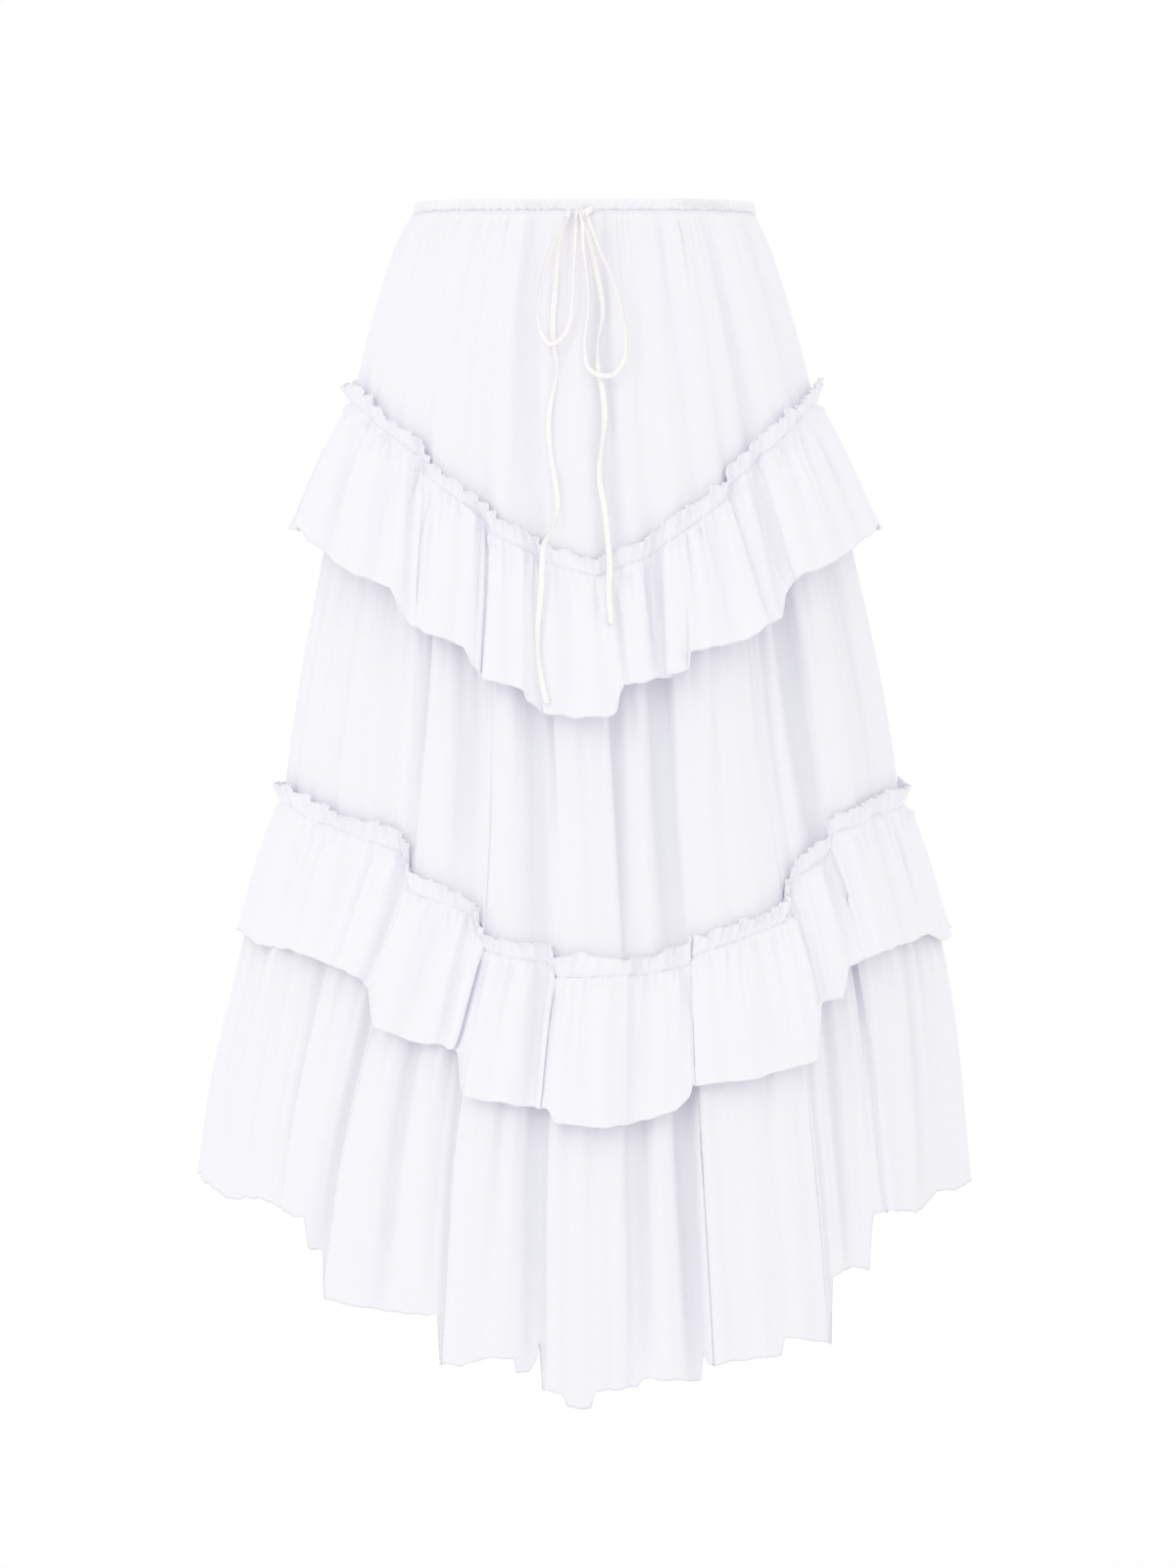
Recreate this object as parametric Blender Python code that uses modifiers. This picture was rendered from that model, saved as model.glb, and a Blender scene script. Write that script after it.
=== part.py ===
"""Tiered ruffle skirt: a gathered skirt of three tiers, with a headed ruffle over each of its two V seams
and a narrow tie bowed at the front of its elastic waist.

Lengths are metres, +Z is up and the front faces -Y. The origin is the middle of the waist's top edge, where
the wearer holds the skirt up. Every piece of cloth is a wall, lofted through rows of points that run round
the body: a row is an ellipse of the skirt's form, pushed in and out by the folds.
"""

import math
from collections import namedtuple

import bmesh
import bpy
import numpy as np
from mathutils import Vector
from mathutils.bvhtree import BVHTree

MM = 0.001

# The pieces' sizes.
WALL = 1.5 * MM  # the cloth's thickness, measured level
SEAM_GAP = 0.6 * MM  # between two pieces that are sewn together
CASING_HEIGHT = 11.5 * MM
CASING_WALL = 4.0 * MM
UPPER_SIDE = 157 * MM  # from the waist to the first V seam, at the side
MIDDLE_LENGTH = 313 * MM
LOWER_LENGTH = 290 * MM
SEAM_DIP = 140 * MM  # how much lower a V seam is at the centre than at the side
RUFFLE_SIDE_LENGTH = 0.94  # a ruffle's length at the side, as a share of that at the front
TIE_WIDTH = 5.0 * MM
TIE_WALL = 1.2 * MM
TIE_CLEARANCE = 0.6 * MM

# How finely the cloth is divided.
HALF_COLUMNS = 90  # over the front, and again over the back
CASING_COLUMNS = 72
GATHERS = 36  # fine gathers round the whole skirt
CORNER_STEPS = 24  # in the fine path that they are placed along, to each of its corners
MM_PER_DEGREE = 4.6  # along the form at the second seam's front

# The skirt's form: half its width and half its depth at each drop below the waist, and how far its middle
# lies to the right, in millimetres.
Form = namedtuple("Form", "drop half_width half_depth shift")
FORM = [
    Form(0, 128, 99, 0),
    Form(36, 144, 112, -2),
    Form(75, 157, 123, -2),
    Form(113, 168, 132, -2),
    Form(157, 179, 141, -1),
    Form(228, 195, 152, 0),
    Form(286, 205, 161, 3),
    Form(383, 226, 177, 4),
    Form(441, 235, 184, 5),
    Form(476, 240, 188, 5),
    Form(535, 257, 201, 6),
    Form(593, 272, 213, 6),
    Form(650, 283, 222, 3),
    Form(727, 295, 230, 0),
    Form(800, 300, 234, 0),
    Form(930, 304, 238, 0),
]

# How far a V seam has dropped, as a share of SEAM_DIP, at each turn from the centre front or back.
Dip = namedtuple("Dip", "turn share")
DIPS = [
    Dip(0, 1.0),
    Dip(15, 0.86),
    Dip(30, 0.60),
    Dip(45, 0.34),
    Dip(60, 0.15),
    Dip(75, 0.03),
    Dip(90, 0.0),
]

# The folds at one level. Each is a ridge between two lips, given by their turns in degrees from the centre
# front. The stands are how far the left lip, the crest and the right lip are proud of the form, and the
# valley is the floor that follows the fold, all in millimetres. The undercut is how far that floor lies to
# the right of the valley's mouth, in degrees: under the next fold, or under this one where it is negative.
# The drops are those of the tier's edge at the two lips, in millimetres; without them it is a smooth V.
# The hang is the turn from which the left lip hangs, far above; without it the cloth is spread evenly.
Fold = namedtuple(
    "Fold",
    "left right left_stand stand right_stand valley undercut left_drop right_drop hang",
    defaults=(None, None, None),
)
FRONT_SEAM_FOLDS = [
    Fold(-88, -77, 2, 4, 2, -1, 0, 470, 472, -88),
    Fold(-71, -59, 4, 6, 3, -2, 0, 472, 484, -73),
    Fold(-53, -35.0, 3, 6, -4, -23, 2.8, 488, 505, -58),
    Fold(-32.4, -20.8, 9, 12, -2, -24, 2.8, 533, 550, -38),
    Fold(-18.3, -8.6, 11, 14, 1, -22, 2.2, 577, 587, -21.5),
    Fold(-6.2, 5.6, 12, 15, 10, -24, -1.0, 598, 596, -10),
    Fold(8.2, 12, 0, 3, -5, -25, 2, 596, 592, 7.5),
    Fold(14.4, 33, 12, 14, 10, -24, -2.8, 584, 555, 19),
    Fold(35.6, 42, -8, -5, -9, -24, 2.6, 524, 515, 39),
    Fold(44.2, 60, 8, 9, 4, -2, 0, 494, 482, 47),
    Fold(67, 87, 3, 5, 3, 0, 0, 477, 471, 68),
]
FRONT_HEM_FOLDS = [
    Fold(-88, -75, 3, 5, 2, -2, 0, 759, 765),
    Fold(-69, -59, 5, 8, 4, -3, 0, 767, 771),
    Fold(-54, -43, 4, 8, 1, -26, 2.8, 773, 795),
    Fold(-40.4, -23.4, 10, 13, 2, -27, 2.8, 842, 852),
    Fold(-21, -8.6, 13, 16, 6, -24, 2.4, 888, 892),
    Fold(-6.2, 6.0, 16, 18, 12, -10, 0, 905, 902),
    Fold(8.6, 14.2, 12, 14, 8, -29, 1, 901, 897),
    Fold(17.1, 36.8, 15, 17, 12, -25, -2.4, 886, 873),
    Fold(39.2, 44.2, -4, -2, -6, -24, 4, 822, 820),
    Fold(46.4, 56, 9, 10, 5, -3, 0, 777, 781),
    Fold(62, 87, 4, 6, 3, 0, 0, 769, 761),
]
BACK_FOLDS = [
    Fold(93, 107, 3, 5, 3, -2, 0),
    Fold(113, 129, 5, 8, -3, -22, 2.4),
    Fold(131.8, 146, 9, 12, -2, -23, 2.4),
    Fold(148.6, 161, 10, 13, 0, -22, 2.4),
    Fold(163.6, 176, 11, 14, 10, -22, -1),
    Fold(178.6, 190, 1, 5, -3, -24, 2.4),
    Fold(192.6, 207, 11, 13, 9, -23, -2.4),
    Fold(209.7, 224, 6, 9, 5, -22, -2.4),
    Fold(226.8, 246, 8, 10, 4, -2, 0),
    Fold(253, 267, 3, 5, 3, 0, 0),
]
BACK_HEM_DEEPER = 1.15  # the back's folds at the hem, against those at the second seam
SLIT = 3.0  # a valley up to this wide, in degrees, has upright sides
LIP_ROUNDING = 6  # from a lip to where its curve ends, in millimetres
BEND_WEIGHT = 0.55  # the share of the columns that go where the cloth bends

# How strongly the folds show at each row of a tier: the row's share of the tier's length, the strength,
# and the depth of the fine gathers in millimetres.
Row = namedtuple("Row", "share strength gather")
UPPER_ROWS = [Row(0, 0.03, 1.8), Row(0.25, 0.10, 1.1), Row(0.6, 0.20, 0.7), Row(1, 0.30, 1.2)]
MIDDLE_ROWS = [Row(0, 0.30, 1.2), Row(0.34, 0.74, 0.8), Row(0.68, 0.92, 0.6), Row(1, 1, 1.2)]
LOWER_ROWS = [Row(0, 1, 1.2), Row(0.22, 1, 2.2), Row(0.5, 1, 2.4), Row(0.76, 1, 2.6), Row(1, 1, 3.0)]

# A ruffle's rows: the drop below its seam in millimetres; how far it stands off the cloth beneath at a
# crest, in a valley and at the skirt's sides; the depth of its gathers and of its slow waves; and how much
# stronger its folds are than those of that cloth.
Flare = namedtuple("Flare", "drop crest valley side gather wave extra_strength")
UPPER_RUFFLE = [
    Flare(-15, 4.5, 3, 7, 1.6, 0.6, -0.02),
    Flare(0, 0, 0, 0, 0, 0, 0),
    Flare(32, 7, 5, 9, 1.4, 1.5, 0.02),
    Flare(104, 18, 11, 27, 1.6, 4, 0.05),
]
LOWER_RUFFLE = [
    Flare(-15, 4.5, 3, 6, 1.6, 0.6, -0.01),
    Flare(0, 0, 0, 0, 0, 0, 0),
    Flare(32, 5, 2, 3, 1.4, 1.0, 0),
    Flare(106, 12, 4, 3, 1.6, 2.6, 0),
]
RUFFLE_GAP = 0.9 * MM  # from a ruffle's inner face to the cloth beneath it at the seam
RUFFLE_CLEARANCE = 0.4 * MM  # how much wider that gap is away from the seam
SLOW_WAVES = 20  # round the whole skirt

# How many times a ruffle's points in the valleys, and all its directions outward, are evened out with those
# of their neighbours, so that its sharpest valleys stay open.
Easing = namedtuple("Easing", "valleys directions")
UPPER_EASING = Easing(3, 2)
LOWER_EASING = Easing(0, 1)

# The tie's four lengths. Each point is across from the centre and down from the waist, in millimetres, with
# the turn of the ribbon about its own length, in degrees, and how far it lies off the cloth.
Route = namedtuple("Route", "across drop twist off")
TAIL_LEFT = [
    Route(-14.5, 20, 60, 3.0), Route(-20, 42, 40, 1.6), Route(-22.5, 72, 10, 1.3), Route(-24.5, 113, 0, 1.3),
    Route(-21.7, 142, 50, 1.6), Route(-25.4, 159, 20, 1.3), Route(-28, 182, 0, 1.3), Route(-26, 204, 30, 1.3),
    Route(-22.4, 225, 0, 1.3), Route(-21, 244, 20, 1.3), Route(-25.4, 260, 60, 1.6), Route(-31, 273, 30, 1.6),
    Route(-32.4, 290, 0, 1.6), Route(-33, 305, 0, 1.6), Route(-35, 327, 10, 1.3), Route(-35.8, 350, 50, 1.3),
    Route(-33, 374, 20, 1.3), Route(-28.3, 393, 0, 1.3),
]
TAIL_RIGHT = [
    Route(0.5, 23, -30, 3.0), Route(5, 44, -20, 1.6), Route(9.5, 66, 0, 1.3), Route(13.5, 96, 40, 1.3),
    Route(9.4, 118, 70, 1.6), Route(10.2, 138, 30, 1.3), Route(13.5, 155, 0, 1.3), Route(15, 176, 10, 1.3),
    Route(12.7, 195, 50, 1.6), Route(11, 220, 20, 1.3), Route(15, 246, 0, 1.3), Route(17.2, 268, 10, 1.6),
    Route(18.7, 286, 0, 1.6), Route(18.2, 309, 0, 1.3), Route(19.7, 333, 20, 1.3),
]
LOOP_LEFT = [
    Route(-13, 21, 60, 7.0), Route(-25.5, 44, 50, 6.0), Route(-33, 70, 60, 5.4), Route(-36, 92, 50, 5.4),
    Route(-33.5, 110, 20, 5.4), Route(-26.5, 119, 0, 5.4), Route(-17.5, 114, 0, 5.4),
    Route(-11.5, 102, 30, 5.4),
    Route(-9.5, 84, 60, 5.4), Route(-8.3, 62, 60, 5.4), Route(-7.6, 42, 50, 6.0), Route(-7.2, 23, 40, 7.0),
]
LOOP_RIGHT = [
    Route(2.2, 21, -50, 8.0), Route(10.5, 44, -50, 6.4), Route(20.5, 67, -50, 5.4), Route(28, 92, -60, 5.4),
    Route(31, 114, -50, 5.4), Route(29, 133, -20, 5.4), Route(22, 142, 0, 5.4), Route(12, 143, 0, 5.4),
    Route(3, 138, 20, 5.4), Route(0, 122, 50, 5.4), Route(1.6, 101, 60, 5.4), Route(2.8, 84, 60, 5.4),
    Route(1.2, 62, 60, 5.4), Route(-1.2, 42, 50, 6.4), Route(-1.8, 24, 40, 8.0),
]
KNOT_CENTRE = (-7 * MM, 13 * MM)  # across, and down from the waist
KNOT_SIZE = (17 * MM, 7 * MM, 10 * MM)
KNOT_OFF = 4.4 * MM  # from the face behind it to the knot's middle
TIE_STEPS = 1.6  # the curve's points to each of a route's
TIE_FINE = 12

COTTON = (0.90, 0.90, 0.93, 1)
TIE_CREAM = (0.93, 0.89, 0.81, 1)


# ---- the form and the folds ------------------------------------------------------------------------------

def smooth_through(xs, ys, x):
    """The value at x of a smooth curve through the points (xs, ys), level past its ends."""
    xs, ys = np.asarray(xs, float), np.asarray(ys, float)
    slopes = np.gradient(ys, xs)
    x = np.clip(x, xs[0], xs[-1])
    i = np.clip(np.searchsorted(xs, x) - 1, 0, len(xs) - 2)
    width = xs[i + 1] - xs[i]
    t = (x - xs[i]) / width
    rise = ys[i + 1] - ys[i]
    a, b = slopes[i] * width - rise, rise - slopes[i + 1] * width
    return ys[i] + t * rise + t * (1 - t) * (a * (1 - t) + b * t)


def curve_through(values, steps):
    """A Catmull-Rom curve through a list of values, with that many steps between each two."""
    v = np.concatenate([[2 * values[0] - values[1]], values, [2 * values[-1] - values[-2]]])
    t = np.linspace(0, 1, steps, endpoint=False)
    parts = [
        0.5 * (2 * b + (c - a) * t + (2 * a - 5 * b + 4 * c - d) * t**2 + (3 * b - a - 3 * c + d) * t**3)
        for a, b, c, d in zip(v, v[1:], v[2:], v[3:])
    ]
    return np.concatenate(parts + [values[-1:]])


def form_at(drop):
    """Half the skirt's width, half its depth and its middle's shift at a drop, in metres."""
    drops = [row.drop * MM for row in FORM]
    columns = zip(*[(row.half_width * MM, row.half_depth * MM, row.shift * MM) for row in FORM])
    return [smooth_through(drops, column, drop) for column in columns]


def seam_dip(home):
    """How far a V seam has dropped at a turn in degrees, which counts from either centre alike."""
    from_centre = 90 - abs(90 - np.abs((np.asarray(home) + 180) % 360 - 180))
    return SEAM_DIP * smooth_through([d.turn for d in DIPS], [d.share for d in DIPS], from_centre)


def plan(turn, stand, drop):
    """A point's place in plan: on the form's ellipse at that turn and drop, and off it by stand."""
    half_width, half_depth, shift = form_at(drop)
    angle = np.radians(turn)
    x, y = half_width * np.sin(angle), -half_depth * np.cos(angle)
    out_x, out_y = half_depth * np.sin(angle), -half_width * np.cos(angle)
    size = np.hypot(out_x, out_y)
    return x + shift + stand * out_x / size, y + stand * out_y / size


def fold_points(folds, start, end, side_drop):
    """The corners of the folded cloth's edge over one half at one level.

    Each is a turn, a stand, a drop, an openness, a lean in degrees to a millimetre of stand, and the length
    over which it is rounded.
    """
    points, before = [(start, 0, side_drop, 1, 0, 60)], 0
    for fold, after in zip(folds, folds[1:] + [None]):
        depth = fold.stand - fold.valley
        left_open = max(fold.left_stand - fold.valley, 0) / depth
        right_open = max(fold.right_stand - fold.valley, 0) / depth
        left_drop, right_drop = fold.left_drop or 0, fold.right_drop or 0
        middle, middle_drop = (fold.left + fold.right) / 2, (left_drop + right_drop) / 2
        lean = -fold.undercut / depth
        points += [
            (fold.left, fold.left_stand, left_drop, left_open**2, before, LIP_ROUNDING),
            (middle, fold.stand, middle_drop, 1, (before + lean) / 2, 60),
            (fold.right, fold.right_stand, right_drop, right_open**2, lean, LIP_ROUNDING),
        ]
        if after:
            mouth = after.left - fold.right
            inset, step = max(mouth - SLIT, 0) * 0.35, ((after.left_drop or 0) - right_drop) / 3
            openness = 0 if inset == 0 else 0.9
            tilt = -lean * mouth / 2 * MM_PER_DEGREE**2
            for turn, share in ((fold.right + inset, 1), (after.left - inset, 2)):
                floor = fold.valley + tilt * (2 * share - 3)
                points.append((turn + fold.undercut, floor, right_drop + share * step, openness, lean, 60))
        before = lean
    return points + [(end, 0, side_drop, 1, 0, 60)]


def rounded_path(points, per_corner):
    """A path through the middles of a row of corners' sides, with each corner rounded.

    It has per_corner even steps to each corner, so two paths with as many corners match step by step.
    """
    values = np.array(points, float)
    corners, rounding = values[:, :-1], values[:, -1]
    flat = np.array([MM_PER_DEGREE, 1])
    sides = np.linalg.norm(np.diff(corners[:, :2], axis=0) * flat, axis=1)
    t = np.linspace(0, 1, 9)[:, None]
    made = []
    for i in range(1, len(corners) - 1):
        before, here, after = corners[i - 1 : i + 2]
        first = before if i == 1 else (before + here) / 2
        last = after if i == len(corners) - 2 else (here + after) / 2
        start = here + min(rounding[i] / sides[i - 1], 0.5) * (before - here)
        end = here + min(rounding[i] / sides[i], 0.5) * (after - here)
        curve = np.concatenate([[first], (1 - t) ** 2 * start + 2 * t * (1 - t) * here + t * t * end, [last]])
        run = np.linalg.norm(np.diff(curve[:, :2], axis=0) * flat, axis=1)
        along = np.concatenate([[0], np.cumsum(run)])
        at = np.arange(per_corner) * along[-1] / per_corner
        made.append([np.interp(at, along, column) for column in curve.T])
    return np.concatenate([np.concatenate(made, axis=1), corners[-1:].T], axis=1)


def half_columns(seam_folds, hem_folds, start, end):
    """The columns of one half of the cloth, closer together where it bends.

    The rows are the turn that each column hangs from, its openness and its lean, and then its turn, stand
    and drop at the second seam and at the hem.
    """
    seam_side, hem_side = UPPER_SIDE + MIDDLE_LENGTH, UPPER_SIDE + MIDDLE_LENGTH + LOWER_LENGTH
    seam = rounded_path(fold_points(seam_folds, start, end, seam_side / MM), CORNER_STEPS)
    hem = rounded_path(fold_points(hem_folds, start, end, hem_side / MM), CORNER_STEPS)
    length, weight = 0, 0
    for (turn, stand, *_), drop in ((seam, 560 * MM), (hem, 870 * MM)):
        x, y = plan(turn, stand * MM, drop)
        dx, dy = np.diff(x), np.diff(y)
        steps = np.hypot(dx, dy)
        bend = np.abs(np.gradient(np.unwrap(np.arctan2(dy, dx))))
        length = length + np.concatenate([[0], np.cumsum(steps / steps.sum())]) / 2
        share = (1 - BEND_WEIGHT) * steps / steps.sum() + BEND_WEIGHT * bend / bend.sum()
        weight = weight + np.concatenate([[0], np.cumsum(share)]) / 2
    home = start + (end - start) * length
    if seam_folds[0].hang is not None:
        lips = [length[round((5 * k + 0.5) * CORNER_STEPS)] for k in range(len(seam_folds))]
        home = np.interp(length, [0, *lips, 1], [start, *(fold.hang for fold in seam_folds), end])
    at = np.linspace(0, 1, HALF_COLUMNS + 1)
    home = np.interp(at, weight, home)
    seam, hem = ([np.interp(at, weight, values) for values in level] for level in (seam, hem))
    if seam_folds[0].left_drop is None:
        seam[2] = (seam_side + seam_dip(home)) / MM
        hem[2] = (hem_side + seam_dip(home)) / MM
    return np.array([home, seam[3], seam[4], seam[0], seam[1], seam[2], hem[0], hem[1], hem[2]])


def ring_columns():
    """The columns round the whole skirt, from the left side over the front and back to the left side."""
    front = half_columns(FRONT_SEAM_FOLDS, FRONT_HEM_FOLDS, -90, 90)
    depths = ("left_stand", "stand", "right_stand", "valley")
    deeper = [
        fold._replace(**{key: getattr(fold, key) * BACK_HEM_DEEPER for key in depths}) for fold in BACK_FOLDS
    ]
    back = half_columns(BACK_FOLDS, deeper, 90, 270)
    return np.concatenate([front[:, :-1], back[:, :-1]], axis=1)


HOME, OPENNESS, LEAN, SEAM_TURN, SEAM_STAND, SEAM_DROP, HEM_TURN, HEM_STAND, HEM_DROP = ring_columns()
COLUMNS = len(HOME)
FIRST_SEAM = UPPER_SIDE + seam_dip(HOME)
SECOND_SEAM = SEAM_DROP * MM
HEM = HEM_DROP * MM


def fine_gather(depth):
    """The fine gathers, in metres, in and out along the cloth."""
    angle = np.radians(HOME)
    uneven = 0.75 + 0.25 * np.sin(7 * angle + 1.3)
    return depth * MM * uneven * np.cos(GATHERS * angle)


def slow_wave(depth):
    """A flounce's slow waves, in metres, of uneven width."""
    angle = np.radians(HOME)
    return depth * MM * np.cos(SLOW_WAVES * angle + 1.4 * np.sin(3 * angle) + 0.8 * np.sin(5 * angle + 1))


def folded_row(drop, strength, hem_share, out=0.0):
    """One row of points round the skirt, at each column: x, y and z.

    It is moved out by a length in metres, along the folds' lean as far as they show.
    """
    folded_turn = SEAM_TURN + hem_share * (HEM_TURN - SEAM_TURN)
    turn = HOME + strength * (folded_turn - HOME + LEAN * out / MM)
    stand = strength * MM * (SEAM_STAND + hem_share * (HEM_STAND - SEAM_STAND)) + out
    x, y = plan(turn, stand, drop)
    return np.stack([x, y, -np.broadcast_to(drop, x.shape)], axis=1)


def around(rows):
    """The direction along each row at its points, halfway between those of the two sides that meet there."""
    rows = np.array(rows)
    ahead = np.roll(rows, -1, axis=-2) - rows
    ahead /= np.linalg.norm(ahead, axis=-1, keepdims=True)
    return ahead + np.roll(ahead, 1, axis=-2)


def level_normals(row, rounds):
    """The level outward direction at each point of a row that runs all round, evened out in rounds."""
    along = around(row[:, :2])
    out = np.stack([along[:, 1], -along[:, 0]], axis=1)
    for _ in range(rounds):
        out /= np.linalg.norm(out, axis=1, keepdims=True)
        out = np.roll(out, 1, axis=0) + 2 * out + np.roll(out, -1, axis=0)
    return out / np.linalg.norm(out, axis=1, keepdims=True)


def half_gap(drop, strength, hem_share=0):
    """Half of a seam's gap, measured down, which is more where the seam is steep."""
    row = folded_row(drop, strength, hem_share)
    step = np.roll(row, -1, axis=0) - row
    slope = np.abs(step[:, 2]) / np.linalg.norm(step[:, :2], axis=1)
    slope = np.maximum(slope, np.roll(slope, 1))
    return SEAM_GAP / 2 * np.sqrt(1 + slope**2)


# ---- the rows of each piece ------------------------------------------------------------------------------

def tier_rows(rows, top, bottom, to_hem=False):
    """The rows of a tier between two edges, each a drop for each column."""
    top = top + half_gap(top + np.zeros(COLUMNS), rows[0].strength)
    if not to_hem:
        bottom = bottom - half_gap(bottom, rows[-1].strength)
    return [
        folded_row(
            top + row.share * (bottom - top),
            row.strength,
            row.share if to_hem else 0,
            OPENNESS * fine_gather(row.gather),
        )
        for row in rows
    ]


def ruffle_rows(flares, easing, seam, beneath, bottom, to_hem=False):
    """The rows of a ruffle, each made from the points of the cloth beneath it, moved out.

    That cloth hangs from the seam to its own edge at bottom, and beneath holds its rows.
    """
    at_side = np.sin(np.radians(HOME)) ** 2
    shortened = 1 - (1 - RUFFLE_SIDE_LENGTH) * at_side
    made = []
    for flare in flares:
        drop = flare.drop * MM * (shortened if flare.drop > 0 else 1)
        share = np.maximum(drop / (bottom - seam), 0)
        strength = np.interp(share, [row.share for row in beneath], [row.strength for row in beneath])
        away = flare.valley + OPENNESS * (flare.crest - flare.valley)
        away = (away + at_side * OPENNESS * (flare.side - away)) * MM
        gather = flare.gather + (1.2 if flare.drop <= 0 else 0)
        away += OPENNESS * (fine_gather(gather) + slow_wave(flare.wave))
        row = folded_row(seam + drop, strength + flare.extra_strength, share if to_hem else 0, away)
        free = min(abs(flare.drop) / 15, 1)
        for _ in range(easing.valleys):
            between = (np.roll(row, 1, axis=0) + np.roll(row, -1, axis=0)) / 2
            row[:, :2] += 0.5 * free * (1 - OPENNESS)[:, None] * (between - row)[:, :2]
        row[:, :2] += level_normals(row, easing.directions) * (WALL + RUFFLE_GAP + free * RUFFLE_CLEARANCE)
        made.append(row)
    return made


def casing_rows():
    """The casing's rows, a ring of its own with two columns to each gather."""
    angle = 2 * np.pi * np.arange(CASING_COLUMNS) / CASING_COLUMNS
    ripple = np.where(np.arange(CASING_COLUMNS) % 2, 1.0, -1.0)
    rows = []
    for share, bulge, depth in ((0, 0.2, 0.7), (0.5, 2.4, 0.9), (1, 1.2, 0.7)):
        drop = share * (CASING_HEIGHT - SEAM_GAP / 2)
        half_width, half_depth, shift = form_at(drop)
        out = (bulge + depth * ripple) * MM
        x, y = (half_width + out) * np.sin(angle) + shift, -(half_depth + out) * np.cos(angle)
        rows.append(np.stack([x, y, np.full_like(x, -drop)], axis=1))
    return rows


# ---- solids ------------------------------------------------------------------------------------------------

def material(name, colour, roughness):
    """A plain cloth material."""
    made = bpy.data.materials.new(name)
    made.use_nodes = True
    shader = made.node_tree.nodes["Principled BSDF"]
    shader.inputs["Base Color"].default_value = colour
    shader.inputs["Roughness"].default_value = roughness
    return made


def wall(name, outer, inner, finish, closed=False):
    """A solid wall lofted between an outer and an inner grid of points, given as rows."""
    mesh = bmesh.new()
    faces = [[[mesh.verts.new(p) for p in row] for row in grid] for grid in (outer, inner)]
    columns = len(outer[0])
    spans = range(columns if closed else columns - 1)
    for side, grid in enumerate(faces):
        for upper, lower in zip(grid, grid[1:]):
            for k in spans:
                corners = [upper[k], lower[k], lower[(k + 1) % columns], upper[(k + 1) % columns]]
                mesh.faces.new(corners[::-1] if side else corners)
    for end in (0, -1):
        for k in spans:
            n = (k + 1) % columns
            corners = [faces[0][end][k], faces[0][end][n], faces[1][end][n], faces[1][end][k]]
            mesh.faces.new(corners[::-1] if end else corners)
    if not closed:
        for end in (0, -1):
            for r in range(len(outer) - 1):
                corners = [faces[0][r][end], faces[1][r][end], faces[1][r + 1][end], faces[0][r + 1][end]]
                mesh.faces.new(corners[::-1] if end else corners)
    bmesh.ops.recalc_face_normals(mesh, faces=mesh.faces)
    bmesh.ops.triangulate(mesh, faces=mesh.faces)
    data = bpy.data.meshes.new(name)
    mesh.to_mesh(data)
    mesh.free()
    data.materials.append(finish)
    data.shade_smooth()
    made = bpy.data.objects.new(name, data)
    bpy.data.collections["tiered_ruffle_skirt"].objects.link(made)
    return made


def cloth_normals(rows):
    """The level outward direction at each point of a grid of rows that run all round."""
    out = np.cross(np.gradient(np.array(rows), axis=0), around(rows))[:, :, :2]
    return out / np.linalg.norm(out, axis=2, keepdims=True)


def half_of(grid, back):
    """One half of a grid of rows, with its two side edges drawn in by half the side seam's gap."""
    first = HALF_COLUMNS if back else 0
    half = np.array(grid)[:, [(first + k) % COLUMNS for k in range(HALF_COLUMNS + 1)]]
    for edge, inside in ((0, 1), (-1, -2)):
        step = half[:, inside] - half[:, edge]
        size = np.linalg.norm(step, axis=1, keepdims=True)
        half[:, edge] += step * (SEAM_GAP / 2) / size
    return half


def cloth_pair(name, rows, finish):
    """The front and the back of a tier or a ruffle."""
    outer = np.array(rows)
    inner = outer.copy()
    inner[:, :, :2] -= cloth_normals(rows) * WALL
    for side in ("front", "back"):
        back = side == "back"
        wall(f"{name}_{side}", half_of(outer, back), half_of(inner, back), finish)


def casing(finish):
    outer = np.array(casing_rows())
    inner = outer.copy()
    inner[:, :, :2] -= cloth_normals(casing_rows()) * CASING_WALL
    wall("waist_casing", outer, inner, finish, closed=True)


# ---- the tie -----------------------------------------------------------------------------------------------

def world_tree(name):
    """A search tree of a piece's faces, where they really are."""
    made = bpy.data.objects[name].evaluated_get(bpy.context.evaluated_depsgraph_get())
    mesh = made.to_mesh()
    corners = [made.matrix_world @ vertex.co for vertex in mesh.vertices]
    tree = BVHTree.FromPolygons(corners, [tuple(face.vertices) for face in mesh.polygons])
    made.to_mesh_clear()
    return tree


def front_finder(names):
    """A function that gives the y of the foremost face of the named pieces near a point seen in front."""
    trees = [world_tree(name) for name in names]
    reach = TIE_WIDTH * 0.6

    def foremost(x, z):
        hits = [
            tree.ray_cast(Vector((x + across, -1, z + up)), Vector((0, 1, 0)))[0]
            for tree in trees
            for across in (-reach, 0, reach)
            for up in (-reach, 0, reach)
        ]
        return min(hit.y for hit in hits if hit)

    return foremost


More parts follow.
